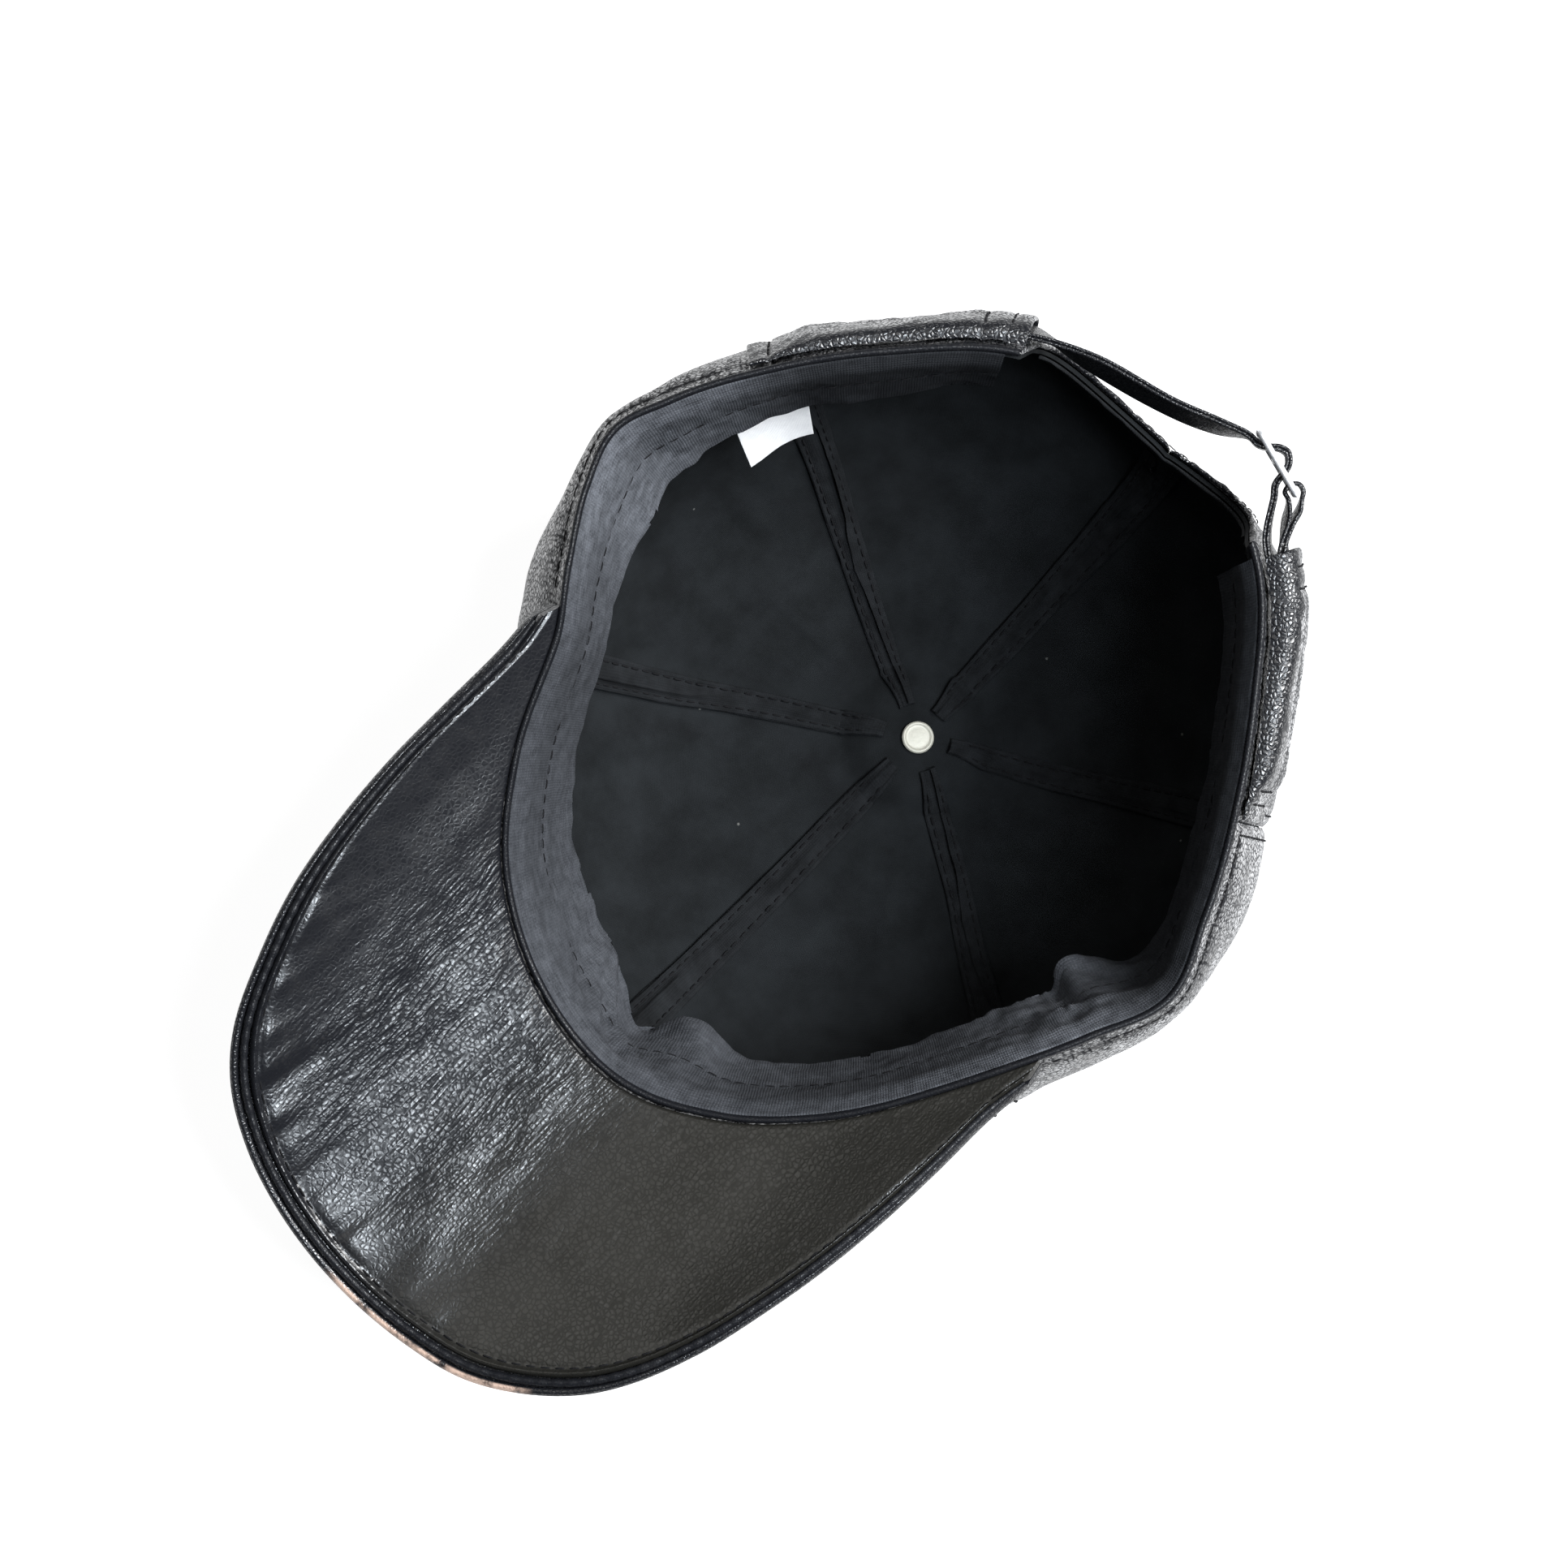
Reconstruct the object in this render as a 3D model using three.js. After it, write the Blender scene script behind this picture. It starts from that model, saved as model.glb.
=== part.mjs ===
import * as THREE from 'three';
import { mergeVertices } from 'three/addons/utils/BufferGeometryUtils.js';

// A leather baseball cap that lies on its crown, hollow side up, with the peak towards -Y.
// Millimetres, +Z up, the floor at z = 0.

// Crown
const FRONT_REACH = 97.5; // from the middle of the rim to the middle of its front
const CROWN_DEPTH = 114; // from the rim's plane to the top button
const SIDE_ROUND = 0.885; // half width of the crown's round body, as a share of FRONT_REACH
const TOP_SHIFT_X = 6.7; // where the top lies, seen from the middle of the rim
const TOP_SHIFT_Y = 6.2;
const FORWARD_TILT = THREE.MathUtils.degToRad(10);
const PRESSED = 7; // how far the crown's top is pressed flat by the cap's weight
const PRESS_BLEND = 3;
const HOLE_RADIUS = 3; // the panels' tips end round the rivet's shank
const PUFF = 1.5; // how far a panel swells between its seams

// Layers of the wall
const LEATHER = 1.2;
const LINING = 0.9;
const TAPE = 0.8;
const BAND = 1.5;
const GAP = 0.35;
const SEAM_GAP = 0.4;

// Sweatband, hem and seam tapes
const BAND_WIDTH = 33;
const BAND_LEAN = 8.5; // how far the band's free edge hangs in from its sewn edge
const BAND_RISE = 1.4; // how far the band's sewn edge stands above the panels' edges
const HEM_WIDTH = 2.8;
const HEM_HEIGHT = 2.4;
const TAPE_WIDTH_RIM = 11.5;
const TAPE_WIDTH_TOP = 6.2;

// Peak
const PEAK_HALF_WIDTH = 75.5;
const PEAK_LENGTH = 74; // from the middle of the root to the tip
const PEAK_SKIN = 1.85;
const PEAK_DIP = 14; // how far the root's middle lies below the rim's plane
const PEAK_SLOPE = 0.15; // rise of the middle line towards the tip
const PEAK_ROOT_LEFT = 200.5;
const PEAK_ROOT_RIGHT = 339.5;

// Back opening, sleeves and strap
const ARCH_LEFT = 113.6; // angles round the rim, from +X towards +Y
const ARCH_RIGHT = 71.8;
const ARCH_HEIGHT = 44;
const SLEEVE_LEFT_END = 153.5;
const SLEEVE_RIGHT_END = 30.5;
const SLEEVE_RIGHT_MOUTH = 69;
const SLEEVE_HEIGHT = 22.5;
const SLEEVE_ROOM_LEFT = 3.7; // room at a sleeve's mouth, between it and the panel behind it
const SLEEVE_ROOM_RIGHT = 6.6;
const SLEEVE_NARROWING = 0.45; // share of that room at the sleeve's other end
const STRAP_WIDTH = 16;
const STRAP_THICKNESS = 1.6;
const STRAP_DEPTH = 10.5; // from the rim's plane to the strap's middle line
const TAB_WIDTH = 13.5;
const TAB_THICKNESS = 1;

// Buckle: a frame with a middle bar, standing on its edge
const BUCKLE_LENGTH = 17.6;
const BUCKLE_HEIGHT = 22.5;
const BUCKLE_PLATE = 1.5;
const BUCKLE_BORDER = 2.1;
const BUCKLE_BAR = 1.8;
const BUCKLE_BAR_AT = 7.9; // the middle bar's centre, from the frame's left end
const BUCKLE_START = new THREE.Vector2(0.135, 1.102).multiplyScalar(FRONT_REACH); // its left end, in plan
const BUCKLE_TURN = THREE.MathUtils.degToRad(-16.5);
const BUCKLE_LEAN = THREE.MathUtils.degToRad(7); // its lower edge leans out

// Button and rivet at the crown's top
const BUTTON_RADIUS = 9;
const BUTTON_HEIGHT = 4.2;
const RIVET_RADIUS = 4.4;
const RIVET_HEIGHT = 1.2;
const SHANK_RADIUS = 1.6;

// Care label
const LABEL_WIDTH = 19.5;
const LABEL_LENGTH = 22;
const LABEL_ANGLE = 152;
const LABEL_THICKNESS = 0.5;
const LABEL_LEAN = 4; // how far its free end hangs in from the band's own line

// The rim's outline: angle in degrees, reach as a share of FRONT_REACH.
const RIM = [
  { angle: 1, reach: 0.879 },
  { angle: 14, reach: 0.837 },
  { angle: 32, reach: 0.818 },
  { angle: 50, reach: 0.85 },
  { angle: 68, reach: 0.935 },
  { angle: 77, reach: 0.953 },
  { angle: 92, reach: 0.935 },
  { angle: 113, reach: 0.933 },
  { angle: 132, reach: 0.886 },
  { angle: 150, reach: 0.883 },
  { angle: 166, reach: 0.916 },
  { angle: 174.5, reach: 0.938 },
  { angle: 183, reach: 0.894 },
  { angle: 194, reach: 0.829 },
  { angle: 207, reach: 0.788 },
  { angle: 226, reach: 0.848 },
  { angle: 243, reach: 0.925 },
  { angle: 262, reach: 0.984 },
  { angle: 276, reach: 0.998 },
  { angle: 290, reach: 0.948 },
  { angle: 303, reach: 0.887 },
  { angle: 320, reach: 0.821 },
  { angle: 334, reach: 0.804 },
  { angle: 348, reach: 0.827 },
];

// The wall from rim to top: out is a share of the reach, down a share of CROWN_DEPTH.
const WALL = [
  { out: 1, down: 0 },
  { out: 1.012, down: 0.03 },
  { out: 1.045, down: 0.1 },
  { out: 1.075, down: 0.22 },
  { out: 1.08, down: 0.36 },
  { out: 1.04, down: 0.53 },
  { out: 0.94, down: 0.69 },
  { out: 0.77, down: 0.83 },
  { out: 0.54, down: 0.93 },
  { out: 0.27, down: 0.985 },
  { out: 0, down: 1 },
];

// Folds and dents: push in mm, positive outwards; down and span are shares of CROWN_DEPTH.
const FOLDS = [
  { angle: 172, spread: 7, down: 0.3, span: 0.22, push: -1.5 },
  { angle: 2, spread: 8, down: 0.28, span: 0.22, push: -2.5 },
  { angle: 93, spread: 18, down: 0.4, span: 0.19, push: -11 },
  { angle: 34, spread: 16, down: 0.38, span: 0.2, push: -6 },
  { angle: 48, spread: 10, down: 0.14, span: 0.12, push: -2.8 },
  { angle: 131, spread: 11, down: 0.16, span: 0.14, push: -4 },
  { angle: 338, spread: 13, down: 0.34, span: 0.2, push: -5 },
  { angle: 72, spread: 14, down: 0.1, span: 0.12, push: -4 },
  { angle: 214, spread: 9, down: 0.42, span: 0.12, push: -5 },
  { angle: 226, spread: 7, down: 0.5, span: 0.1, push: 3 },
  { angle: 197, spread: 8, down: 0.52, span: 0.11, push: 1.5 },
  { angle: 340, spread: 10, down: 0.5, span: 0.13, push: -4 },
  { angle: 48, spread: 12, down: 0.55, span: 0.12, push: -3.5 },
  { angle: 130, spread: 10, down: 0.58, span: 0.12, push: -3 },
  { angle: 270, spread: 12, down: 0.4, span: 0.14, push: -2.5 },
];

// Where the sweatband's free edge hangs further in (positive) or less far.
const BAND_FOLDS = [
  { angle: 178, spread: 7, push: 4 },
  { angle: 206, spread: 10, push: -2 },
  { angle: 258, spread: 15, push: 5 },
  { angle: 273, spread: 3, push: -5 },
  { angle: 281, spread: 4, push: 6 },
  { angle: 315, spread: 16, push: -2 },
  { angle: 146, spread: 11, push: -5 },
  { angle: 352, spread: 3.5, push: 6 },
  { angle: 348, spread: 2, push: -3 },
  { angle: 358, spread: 3, push: 2 },
];

// The peak's edge from its left root to its right one: across is a share of PEAK_HALF_WIDTH,
// along a share of the way from the root's corners to the tip.
const PEAK_OUTLINE = [
  { across: -0.99, along: 0.08 },
  { across: -0.995, along: 0.2 },
  { across: -0.998, along: 0.32 },
  { across: -0.983, along: 0.45 },
  { across: -0.95, along: 0.57 },
  { across: -0.89, along: 0.68 },
  { across: -0.797, along: 0.8 },
  { across: -0.69, along: 0.873 },
  { across: -0.54, along: 0.93 },
  { across: -0.376, along: 0.968 },
  { across: -0.192, along: 0.992 },
  { across: 0, along: 1 },
  { across: 0.192, along: 0.992 },
  { across: 0.375, along: 0.968 },
  { across: 0.522, along: 0.922 },
  { across: 0.655, along: 0.855 },
  { across: 0.745, along: 0.78 },
  { across: 0.827, along: 0.67 },
  { across: 0.875, along: 0.57 },
  { across: 0.917, along: 0.46 },
  { across: 0.947, along: 0.345 },
  { across: 0.967, along: 0.21 },
  { across: 0.976, along: 0.09 },
];

// Small helpers
const clamp01 = (x) => Math.min(1, Math.max(0, x));
const mix = (a, b, s) => a + (b - a) * s;
const smooth = (x) => clamp01(x) * clamp01(x) * (3 - 2 * clamp01(x));
const radians = THREE.MathUtils.degToRad;
const bell = (x, spread) => Math.exp(-0.5 * (x / spread) * (x / spread));
const turnBetween = (a, b) => THREE.MathUtils.euclideanModulo(a - b + 180, 360) - 180;
const steps = (count) => Array.from({ length: count + 1 }, (_, i) => i / count);
const plan = (x, y, z = 0) => new THREE.Vector3(x, y, z);

// The rim's reach at any angle: a smooth closed curve through the table.
function rimReach(angle) {
  const a = THREE.MathUtils.euclideanModulo(angle - RIM[0].angle, 360) + RIM[0].angle;
  const last = RIM.length - 1;
  const row = (i) => {
    const turns = Math.floor(i / RIM.length);
    const entry = RIM[i - turns * RIM.length];
    return { angle: entry.angle + 360 * turns, reach: entry.reach };
  };
  let i = last;
  while (i > 0 && RIM[i].angle > a) {
    i -= 1;
  }
  const [before, start, end, after] = [row(i - 1), row(i), row(i + 1), row(i + 2)];
  const span = end.angle - start.angle;
  const s = (a - start.angle) / span;
  const slopeStart = ((end.reach - before.reach) / (end.angle - before.angle)) * span;
  const slopeEnd = ((after.reach - start.reach) / (after.angle - start.angle)) * span;
  const s2 = s * s;
  const s3 = s2 * s;
  const share =
    (2 * s3 - 3 * s2 + 1) * start.reach +
    (s3 - 2 * s2 + s) * slopeStart +
    (3 * s2 - 2 * s3) * end.reach +
    (s3 - s2) * slopeEnd;
  return FRONT_REACH * share;
}

// The crown's body below the rim is a plain oval.
function roundReach(angle) {
  const a = radians(angle);
  return FRONT_REACH / Math.hypot(Math.cos(a) / SIDE_ROUND, Math.sin(a));
}

// Peak surface: an arch across, with a straight rise towards the tip.
const ROOT_FRONT_Y = -rimReach(270);
const ROOT_SIDE = radians(PEAK_ROOT_RIGHT);
const ROOT_SIDE_X = rimReach(PEAK_ROOT_RIGHT) * Math.cos(ROOT_SIDE);
const ROOT_SIDE_Y = rimReach(PEAK_ROOT_RIGHT) * Math.sin(ROOT_SIDE);
const ARCH_RISE = PEAK_DIP + PEAK_SLOPE * (ROOT_SIDE_Y - ROOT_FRONT_Y);
const TIP_Y = ROOT_FRONT_Y - PEAK_LENGTH;

function peakLevel(x, y) {
  const across = x / ROOT_SIDE_X;
  return CROWN_DEPTH - PEAK_DIP + ARCH_RISE * across * across + PEAK_SLOPE * (ROOT_FRONT_Y - y);
}

// The rim follows the peak's arch along its front.
function rimLevel(angle) {
  const reach = rimReach(angle);
  const x = reach * Math.cos(radians(angle));
  const y = reach * Math.sin(radians(angle));
  if (y > 0) {
    return CROWN_DEPTH;
  }
  const drop = CROWN_DEPTH - peakLevel(x, y);
  return CROWN_DEPTH - 0.5 * (drop + Math.hypot(drop, 1.2)) * smooth(-y / 30);
}

// Crown wall, in the cap's own frame: t runs from the rim (0) to the top (1).
const WALL_CURVE = new THREE.CatmullRomCurve3(
  WALL.map((row) => plan(row.out * FRONT_REACH, row.down * CROWN_DEPTH)),
  false,
  'centripetal'
);
WALL_CURVE.arcLengthDivisions = 400;
const WALL_LENGTH = WALL_CURVE.getLength();

function crownPoint(angle, t) {
  const wall = WALL_CURVE.getPointAt(clamp01(t));
  const out = wall.x / FRONT_REACH;
  const down = wall.y / CROWN_DEPTH;
  let reach = mix(rimReach(angle), roundReach(angle), smooth(down / 0.5)) * out;
  for (const fold of FOLDS) {
    const near = bell(turnBetween(angle, fold.angle), fold.spread);
    reach += fold.push * near * bell(down - fold.down, fold.span) * smooth(down / 0.14);
  }
  const seam = Math.abs(Math.sin(radians(3 * (angle - 30))));
  reach += PUFF * Math.sqrt(seam) * smooth(down / 0.15) * smooth((1 - down) / 0.2);
  const rise = rimLevel(angle) - CROWN_DEPTH;
  return plan(
    TOP_SHIFT_X * down + reach * Math.cos(radians(angle)),
    TOP_SHIFT_Y * down + reach * Math.sin(radians(angle)),
    CROWN_DEPTH - wall.y + rise * (1 - down) * (1 - down)
  );
}

// How the cap lies: tipped forwards, lowered, and pressed flat where it meets the floor.
function tip(point) {
  return point.applyAxisAngle(plan(1, 0, 0), FORWARD_TILT);
}

let lowest = Infinity;
for (let angle = 0; angle < 360; angle += 5) {
  for (let t = 0.7; t <= 1; t += 0.02) {
    lowest = Math.min(lowest, tip(crownPoint(angle, t)).z);
  }
}
const LOWERING = lowest + PRESSED;
const TOP = tip(crownPoint(0, 1));

function lay(point) {
  const p = tip(point);
  let z = p.z - LOWERING;
  if (z < -PRESS_BLEND) {
    z = 0;
  } else if (z < PRESS_BLEND) {
    z = ((z + PRESS_BLEND) * (z + PRESS_BLEND)) / (4 * PRESS_BLEND);
  }
  const away = Math.hypot(p.x - TOP.x, p.y - TOP.y);
  const lift = 1 - smooth((away - BUTTON_RADIUS - 0.9) / BUTTON_RADIUS);
  return plan(p.x, p.y, z + (BUTTON_HEIGHT + GAP) * lift * (z < 12 ? 1 : 0));
}

// The wall's depth in mm, turned into t.
function tAtDepth(depth) {
  let low = 0;
  let high = 0.7;
  for (let i = 0; i < 30; i += 1) {
    const middle = (low + high) / 2;
    if (WALL_CURVE.getPointAt(middle).y < depth) {
      low = middle;
    } else {
      high = middle;
    }
  }
  return (low + high) / 2;
}

// Where the wall starts: at the rim, or along the edge of the arch over the back opening.
const ARCH_MIDDLE = (ARCH_LEFT + ARCH_RIGHT) / 2;
const ARCH_HALF = (ARCH_LEFT - ARCH_RIGHT) / 2;

function wallStart(angle) {
  const across = Math.abs(turnBetween(angle, ARCH_MIDDLE)) / ARCH_HALF;
  if (across >= 1) {
    return 0;
  }
  return tAtDepth(ARCH_HEIGHT * (1 - across ** 2.6) ** (1 / 2.2));
}

// Turns indexed corners and triangles into one closed, outward facing mesh.
function closedMesh(name, positions, triangles, colour, roughness, metalness = 0) {
  let volume = 0;
  for (let i = 0; i < triangles.length; i += 3) {
    const [a, b, c] = [0, 1, 2].map((k) => plan().fromArray(positions, triangles[i + k] * 3));
    volume += a.dot(b.cross(c));
  }
  if (volume < 0) {
    for (let i = 0; i < triangles.length; i += 3) {
      [triangles[i + 1], triangles[i + 2]] = [triangles[i + 2], triangles[i + 1]];
    }
  }
  const geometry = new THREE.BufferGeometry();
  geometry.setAttribute('position', new THREE.Float32BufferAttribute(positions, 3));
  geometry.setIndex(triangles);
  return finished(name, geometry, colour, roughness, metalness);
}

function finished(name, geometry, colour, roughness, metalness = 0) {
  const material = new THREE.MeshStandardMaterial({ color: colour, roughness, metalness });
  const mesh = new THREE.Mesh(geometry, material);
  mesh.name = name;
  return mesh;
}

// Places at a distance from a surface, measured along its own normal.
function lifted(at) {
  const step = 0.002;
  return (u, v, distance) => {
    const across = at(u + step, v).sub(at(u - step, v));
    const along = at(u, Math.min(1, v + step)).sub(at(u, Math.max(0, v - step)));
    return at(u, v).addScaledVector(along.cross(across).normalize(), distance);
  };
}

// A slab of cloth or leather between two distances, low and high, from a surface.
function slab({ name, at, place, columns, rows, low, high, ring = false, colour, roughness }) {
  const lift = place || lifted(at);
  const positions = [];
  for (const face of [high, low]) {
    for (const v of rows) {
      for (const u of columns) {
        const distance = typeof face === 'function' ? face(u, v) : face;
        positions.push(...lift(u, v, distance).toArray());
      }
    }
  }
  const width = columns.length;
  const size = width * rows.length;
  const triangles = [];
  const quad = (a, b, c, d) => triangles.push(a, b, c, a, c, d);
  const cells = ring ? width : width - 1;
  for (let j = 0; j < rows.length - 1; j += 1) {
    for (let i = 0; i < cells; i += 1) {
      const next = (i + 1) % width;
      const [a, b] = [j * width + i, j * width + next];
      const [c, d] = [b + width, a + width];
      quad(a, b, c, d);
      quad(a + size, d + size, c + size, b + size);
    }
  }
  for (let i = 0; i < cells; i += 1) {
    const next = (i + 1) % width;
    const last = (rows.length - 1) * width;
    quad(next, i, i + size, next + size);
    quad(last + i, last + next, last + next + size, last + i + size);
  }
  if (!ring) {
    for (let j = 0; j < rows.length - 1; j += 1) {
      const [a, b] = [j * width, (j + 1) * width];
      quad(a, b, b + size, a + size);
      quad(b + width - 1, a + width - 1, a + width - 1 + size, b + width - 1 + size);
    }
  }
  return closedMesh(name, positions, triangles, colour, roughness);
}

const group = new THREE.Group();
const add = (mesh) => group.add(mesh);

// Crown panels
const PANEL_LEATHER = 0x1d1e22;
const TIP_T = 1 - HOLE_RADIUS / WALL_LENGTH;
const WALL_ROWS = [0, 0.055, 0.16, 0.28, 0.4, 0.52, 0.63, 0.74, 0.83, 0.9, 0.953, 1];
const PLAIN_COLUMNS = steps(7);
const archColumns = (edge) => [
  ...[0, 0.3, 0.55, 0.75, 0.88, 0.96, 1].map((share) => share * edge),
  ...[0.09, 0.3, 0.55, 0.78, 1].map((share) => mix(edge, 1, share)),
];
const COLUMNS_BACK_LEFT = archColumns((ARCH_LEFT - 90) / 60);
const COLUMNS_BACK_RIGHT = archColumns((90 - ARCH_RIGHT) / 60)
  .map((u) => 1 - u)
  .reverse();

const PANELS = [
  { name: 'panel_back_right', from: 30, columns: COLUMNS_BACK_RIGHT },
  { name: 'panel_back_left', from: 90, columns: COLUMNS_BACK_LEFT },
  { name: 'panel_side_left', from: 150, columns: PLAIN_COLUMNS },
  { name: 'panel_front_left', from: 210, columns: PLAIN_COLUMNS },
  { name: 'panel_front_right', from: 270, columns: PLAIN_COLUMNS },
  { name: 'panel_side_right', from: 330, columns: PLAIN_COLUMNS },
];
const PANEL_TURN = 60;

// The wall's t at an angle: v runs from the rim or the arch (0) to the tip (1).
const wallT = (angle, v) => mix(wallStart(angle), TIP_T, v);

// A place at a distance from the laid wall, along the wall's own normal.
function wallPlace(angle, t, distance) {
  const step = 0.004;
  const at = (turn, run) => lay(crownPoint(angle + turn, clamp01(t + run)));
  const across = at(0.4, 0).sub(at(-0.4, 0));
  const along = at(0, step).sub(at(0, -step));
  return at(0, 0).addScaledVector(along.cross(across).normalize(), distance);
}

for (const panel of PANELS) {
  add(
    slab({
      name: panel.name,
      place: (u, v, distance) => {
        const angle = panel.from + PANEL_TURN * u;
        const t = wallT(angle, v);
        const radius = Math.max(HOLE_RADIUS, WALL_CURVE.getPointAt(clamp01(t)).x);
        const shy = THREE.MathUtils.radToDeg(SEAM_GAP / 2 / radius);
        return wallPlace(angle + shy * (1 - 2 * u), t, distance);
      },
      columns: panel.columns,
      rows: WALL_ROWS,
      low: -LEATHER,
      high: 0,
      colour: PANEL_LEATHER,
      roughness: 0.5,
    })
  );
}

// Lining
const LINING_TOP = LEATHER + GAP + 0.05;
const LINING_START = 0.008; // the lining stays back from the leather's edge: a share of its run
const liningPlace = (u, v, distance) => wallPlace(u * 360, wallT(u * 360, v), distance);
const liningAngles = PANELS.flatMap((panel) =>
  panel.columns.slice(0, -1).map((u) => panel.from + PANEL_TURN * u)
);
add(
  slab({
    name: 'lining',
    place: liningPlace,
    columns: liningAngles.map((angle) => angle / 360),
    rows: [LINING_START, ...WALL_ROWS.slice(1)],
    low: -(LINING_TOP + LINING),
    high: -LINING_TOP,
    ring: true,
    colour: 0x15171b,
    roughness: 0.9,
  })
);

// Seam tapes
const TAPE_TOP = LINING_TOP + LINING + GAP + 0.05;
const PLAIN_STEP = PANEL_TURN / 7; // the tape lies on the lining's facets beside the seam
const BACK_STEP = 0.3 * (90 - ARCH_RIGHT);
const BACK_STEP_LEFT = 0.3 * (ARCH_LEFT - 90);
const TAPES = [
  { name: 'tape_front', angle: 270, start: 0.03 },
  { name: 'tape_front_left', angle: 210, start: 0.03 },
  { name: 'tape_front_right', angle: 330, start: 0.03 },
  { name: 'tape_back_left', angle: 150, start: 0.03 },
  { name: 'tape_back_right', angle: 30, start: 0.03 },
  { name: 'tape_back', angle: 90, start: 0.075, steps: [BACK_STEP, BACK_STEP_LEFT] },
];
const TAPE_END = 0.953;

function tapePlace(tape) {
  const facets = tape.steps || [PLAIN_STEP, PLAIN_STEP];
  return (u, v, distance) => {
    const t = wallT(tape.angle, v);
    const radius = WALL_CURVE.getPointAt(clamp01(t)).x * mix(0.86, 1, t);
    const half = mix(TAPE_WIDTH_RIM, TAPE_WIDTH_TOP, t) / 2;
    const turn = THREE.MathUtils.radToDeg(half / radius) * (2 * u - 1);
    const facet = Math.sign(turn) * facets[turn > 0 ? 1 : 0];
    if (facet === 0 || Math.abs(turn) > Math.abs(facet)) {
      return liningPlace((tape.angle + turn) / 360, v, distance);
    }
    const start = liningPlace(tape.angle / 360, v, distance);
    return start.lerp(liningPlace((tape.angle + facet) / 360, v, distance), turn / facet);
  };
}

for (const tape of TAPES) {
  add(
    slab({
      name: tape.name,
      place: tapePlace(tape),
      columns: steps(2),
      rows: [tape.start, ...WALL_ROWS.filter((v) => v > tape.start && v <= TAPE_END)],
      low: -(TAPE_TOP + TAPE),
      high: -TAPE_TOP,
      colour: 0x202329,
      roughness: 0.85,
    })
  );
}

// Tape along the inside edge of the arch
const inArch = (angle) => Math.abs(turnBetween(angle, ARCH_MIDDLE)) < 0.93 * ARCH_HALF;
add(
  slab({
    name: 'arch_tape',
    place: liningPlace,
    columns: liningAngles.filter(inArch).map((angle) => angle / 360),
    rows: [LINING_START, WALL_ROWS[1]],
    low: -(TAPE_TOP + TAPE),
    high: -TAPE_TOP,
    colour: 0x202329,
    roughness: 0.85,
  })
);

// Sweatband
const BAND_FROM = ARCH_LEFT + 2.5;
const BAND_TO = ARCH_RIGHT + 360 - 2.5;
const BAND_INSET = TAPE_TOP + 0.1;

function bandLean(angle) {
  let lean = BAND_LEAN;
  for (const fold of BAND_FOLDS) {
    lean += fold.push * bell(turnBetween(angle, fold.angle), fold.spread);
  }
  return lean;
}

function bandPlace(u, v, further = 0) {
  const angle = mix(BAND_FROM, BAND_TO, u);
  const inset = BAND_INSET + bandLean(angle) * mix(v, v * v, 0.4) + further;
  const reach = rimReach(angle) - inset;
  const level = rimLevel(angle) + BAND_RISE - BAND_WIDTH * v;
  return lay(plan(reach * Math.cos(radians(angle)), reach * Math.sin(radians(angle)), level));
}

add(
  slab({
    name: 'sweatband',
    at: bandPlace,
    columns: steps(72),
    rows: [0, 0.3, 0.65, 1],
    low: -BAND,
    high: 0,
    colour: 0x3a3e45,
    roughness: 0.95,
  })
);

// A bead with an oval section, swept along a run of places round the rim.
function bead({ name, from, to, count, inset, width, height, lift, sides, colour, roughness }) {
  const positions = [];
  const triangles = [];
  for (let i = 0; i <= count; i += 1) {
    const angle = mix(from, to, i / count);
    const [c, s] = [Math.cos(radians(angle)), Math.sin(radians(angle))];
    for (let k = 0; k < sides; k += 1) {
      const turn = (k / sides) * 2 * Math.PI;
      const reach = rimReach(angle) - inset + (width / 2) * Math.cos(turn);
      const level = rimLevel(angle) + lift + (height / 2) * (1 + Math.sin(turn));
      positions.push(...lay(plan(reach * c, reach * s, level)).toArray());
    }
  }
  for (let i = 0; i < count; i += 1) {
    for (let k = 0; k < sides; k += 1) {
      const [a, b] = [i * sides + k, i * sides + ((k + 1) % sides)];
      triangles.push(a, b, b + sides, a, b + sides, a + sides);
    }
  }
  const last = count * sides;
  for (let k = 1; k < sides - 1; k += 1) {
    triangles.push(0, k + 1, k, last, last + k, last + k + 1);
  }
  return closedMesh(name, positions, triangles, colour, roughness);
}

// Rolled hem of the rim
add(
  bead({
    name: 'rim_hem',
    from: ARCH_LEFT + 0.5,
    to: ARCH_RIGHT + 360 - 0.5,
    count: 72,
    inset: 0.6,
    width: HEM_WIDTH,
    height: HEM_HEIGHT,
    lift: GAP,
    sides: 6,
    colour: 0x1b1c20,
    roughness: 0.45,
  })
);

// Peak: two skins between the root along the rim and the outer edge
const ROOT_CLEAR = HEM_WIDTH / 2 - 0.6 + GAP + 0.75;
const ROOT_SETBACK = 6; // the edge starts this far in front of the root's corners
const ROOT_FLARE = 1.5; // and this far outside them

function peakEdgePoints() {
  const rootY = ROOT_SIDE_Y - ROOT_SETBACK;
  const points = PEAK_OUTLINE.map((row) =>
    plan(PEAK_HALF_WIDTH * row.across, mix(rootY, TIP_Y, row.along))
  );
  points.unshift(plan(-ROOT_SIDE_X - ROOT_FLARE, rootY));
  points.push(plan(ROOT_SIDE_X + ROOT_FLARE, rootY));
  return points;
}

const PEAK_EDGE = new THREE.CatmullRomCurve3(peakEdgePoints(), false, 'centripetal');
PEAK_EDGE.arcLengthDivisions = 400;

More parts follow.
